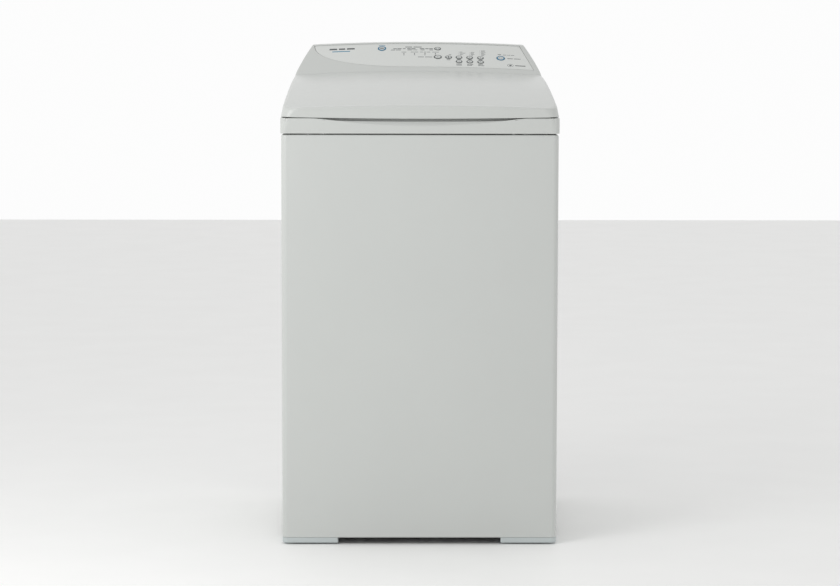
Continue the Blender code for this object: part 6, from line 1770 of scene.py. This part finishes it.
def make_hose():
    """Corrugated drain hose with smooth cuffs at each end, and the barbed spigot at the back."""
    level = PUMP_FLOOR + 0.022
    back = HALF_D - 0.0325
    start = np.array([PUMP_X, PUMP_Y + PUMP_RADIUS + 0.0187, level])
    finish_y = HALF_D - 0.028 - 0.003 - 0.014 - 0.0003
    top = RECESS_MIDDLE
    route = [
        start,
        start + (0, 0.018, 0),
        (PUMP_X - 0.004, back - 0.012, level + 0.016),
        (PUMP_X - 0.010, back, level + 0.060),
        (DRAIN_X - 0.005, back, level + 0.200),
        (DRAIN_X, back, (level + top) / 2),
        (DRAIN_X, back, top - 0.140),
        (DRAIN_X, back - 0.004, top - 0.070),
        (DRAIN_X, finish_y - 0.036, top - 0.020),
        (DRAIN_X, finish_y - 0.020, top - 0.002),
        (DRAIN_X, finish_y, top),
    ]
    fine = smooth_route(route, 4000)
    step = np.concatenate([[0], np.cumsum(np.linalg.norm(np.diff(fine, axis=0), axis=1))])
    length = np.linspace(0, step[-1], 1001)
    path = np.column_stack([np.interp(length, step, fine[:, axis]) for axis in range(3)])
    plain = smoothstep((np.minimum(length, step[-1] - length) - 0.020) / 0.004)
    radius = HOSE_RADIUS - 0.0005 - plain * 0.0009 * (0.5 - 0.5 * np.cos(2 * math.pi * length / 0.0058))
    hose = sweep("corrugated_hose", path, radius, RUBBER, 18, 60)
    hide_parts("drain_hose")
    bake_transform(hose)
    low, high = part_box("drain_spigot")
    deep, tall = high.y - low.y, (high.z - low.z) / 2
    outer = [(HOSE_RADIUS - 0.003, 0), (HOSE_RADIUS - 0.0012, 0)]
    for y in np.linspace(0.003, 0.0115, 3):
        outer += [(HOSE_RADIUS, y), (HOSE_RADIUS - 0.0010, y + 0.0002)]
    outer += [
        (HOSE_RADIUS, 0.0150), (HOSE_RADIUS, 0.0285), (tall, 0.0300), (HOSE_RADIUS, 0.0315),
        (HOSE_RADIUS, deep - 0.0006), (HOSE_RADIUS - 0.0006, deep), (HOSE_RADIUS - 0.003, deep)]
    spigot = revolve(
        "drain_outlet", outer, TUB_WHITE, segments=56, carry=along_y(DRAIN_X, low.y, RECESS_MIDDLE))
    place(spigot, "cabinet", "tub_plastic", "drain_spigot")


def make_valves():
    """Inlet valves: a threaded socket, a body with its coil and nozzle, and a coloured collar. A
    gland beside them."""
    seat_y = HALF_D - 0.028 - 0.003
    for node, finish in (("inlet_valve_hot", HOT_MARK), ("inlet_valve_cold", COLD_MARK)):
        low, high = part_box(node)
        x, z = (low.x + high.x) / 2, RECESS_MIDDLE
        radius = 0.0125
        thread = []
        for y in np.arange(0.0075, 0.0262, 0.0018):
            thread += [
                (radius, y), (radius, y + 0.0004), (radius - 0.0009, y + 0.0009),
                (radius - 0.0009, y + 0.0013)]
        profile = [
            (0, -0.012), (radius + 0.004, -0.012), (radius + 0.004, -0.0004), (radius, -0.0004), *thread]
        profile += [
            (radius - 0.0014, 0.0285), (radius - 0.0035, 0.0285), (radius - 0.0035, 0.0060), (0, 0.0060)]
        carry = along_y(x, seat_y, z)
        valve = revolve(node + "_body", profile, VALVE, segments=64, carry=carry, closed=False)
        front = POCKET_BACK + 0.012
        body = block(
            "valve_block", (x - 0.015, front, z - 0.014), (x + 0.015, seat_y - 0.010, z + 0.016), VALVE,
            0.0025)
        can = revolve(
            "valve_coil",
            soften([(0, z - 0.030), (0.0125, z - 0.030), (0.0125, z - 0.010), (0, z - 0.010)], 0.0015), VALVE,
            (x, front + 0.022), 40, closed=False)
        nozzle = rod(
            "valve_nozzle", (x, POCKET_BACK - 0.010, z + 0.008), (x, front + 0.004, z + 0.008), 0.007, VALVE,
            32)
        carve(valve, [body, can, nozzle], "UNION")
        mesh_cap = revolve(
            "filter", soften([(0, 0.0062), (0.0085, 0.0062), (0.0070, 0.012), (0, 0.0125)], 0.001), finish,
            segments=40, carry=carry, closed=False)
        collar_line = [
            (radius + 0.0001, 0.0034), (radius + 0.0040, 0.0034), (radius + 0.0040, 0.0058),
            (radius + 0.0001, 0.0058)]
        collar = revolve(
            "collar", soften(collar_line, 0.0004, 2, closed=True), finish, segments=64, carry=carry)
        place(valve, "cabinet", "valve_plastic", node)
        place(joined(node + "_mark", [collar, mesh_cap]), "cabinet", "valve_plastic")
    low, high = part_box("cord_gland")
    x = (low.x + high.x) / 2
    line = [
        (0.0035, -0.010), (0.0060, -0.010), (0.0060, 0.0033), (0.0110, 0.0033), (0.0110, 0.0070),
        (0.0095, 0.0078), (0.0090, 0.0090), (0.0080, 0.0095)]
    line += [(0.0074, 0.0110), (0.0070, 0.0130), (0.0035, 0.0130)]
    gland = revolve(
        "lead_gland", soften(line, 0.0003, 2, closed=True), MODULE, segments=48,
        carry=along_y(x, seat_y, RECESS_MIDDLE))
    place(gland, "cabinet", "module_black", "cord_gland")


def make_electronics():
    """Control module: a ribbed case. Lid lock: a case with a bolt slot. Hinge pins."""
    low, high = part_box("control_module")
    case = block("control_case", low, high, MODULE, 0.002)
    grooves = []
    for x in np.linspace(low.x + 0.020, high.x - 0.020, 20):
        grooves.append(
            block(
                "groove", (x - 0.002, low.y + 0.010, high.z - 0.0012),
                (x + 0.002, high.y - 0.012, high.z + 0.01), MODULE, 0))
    carve(case, grooves)
    place(case, "cabinet", "module_black", "control_module")
    low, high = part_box("lid_lock")
    lock = block("lock_case", low, high, MODULE, 0.0015)
    middle = (low.y + high.y) / 2
    slot_tool = block(
        "bolt_slot", (low.x + 0.007, middle - 0.010, high.z - 0.006),
        (low.x + 0.012, middle + 0.010, high.z + 0.01), MODULE, 0)
    place(carve(lock, [slot_tool]), "cabinet", "module_black", "lid_lock")
    for side, tag in ((-1, "left"), (1, "right")):
        low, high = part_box(f"hinge_pin_{tag}")
        radius, long = (high.z - low.z) / 2, high.x - low.x
        line = [
            (0, 0), (radius - 0.0006, 0), (radius, 0.0006), (radius, long - 0.0006), (radius - 0.0006, long),
            (0, long)]
        y, z = (low.y + high.y) / 2, (low.z + high.z) / 2
        pin = rod(f"pivot_pin_{tag}", (low.x, y, z), (high.x, y, z), radius, SHAFT, 40, line)
        place(pin, "lid", "bearing_steel", f"hinge_pin_{tag}")


def finish_frames():
    """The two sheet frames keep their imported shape: they take the zinc finish and a small rounding
    of their edges."""
    for node in ("top_frame", "base_frame"):
        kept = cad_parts[node]
        kept.data.materials.clear()
        kept.data.materials.append(ZINC)
        step = kept.modifiers.new("rounding", "BEVEL")
        step.width = 0.0005
        step.segments = 2
        step.limit_method = "ANGLE"
        step.angle_limit = math.radians(40)


make_studio()
make_cabinet()
make_back()
make_corners()
make_deck()
make_lid()
make_console()
make_panel()
make_print()
make_tub()
make_bearings()
make_basket()
make_agitator()
make_drive()
make_suspension()
make_pump()
make_hose()
make_valves()
make_electronics()
finish_frames()
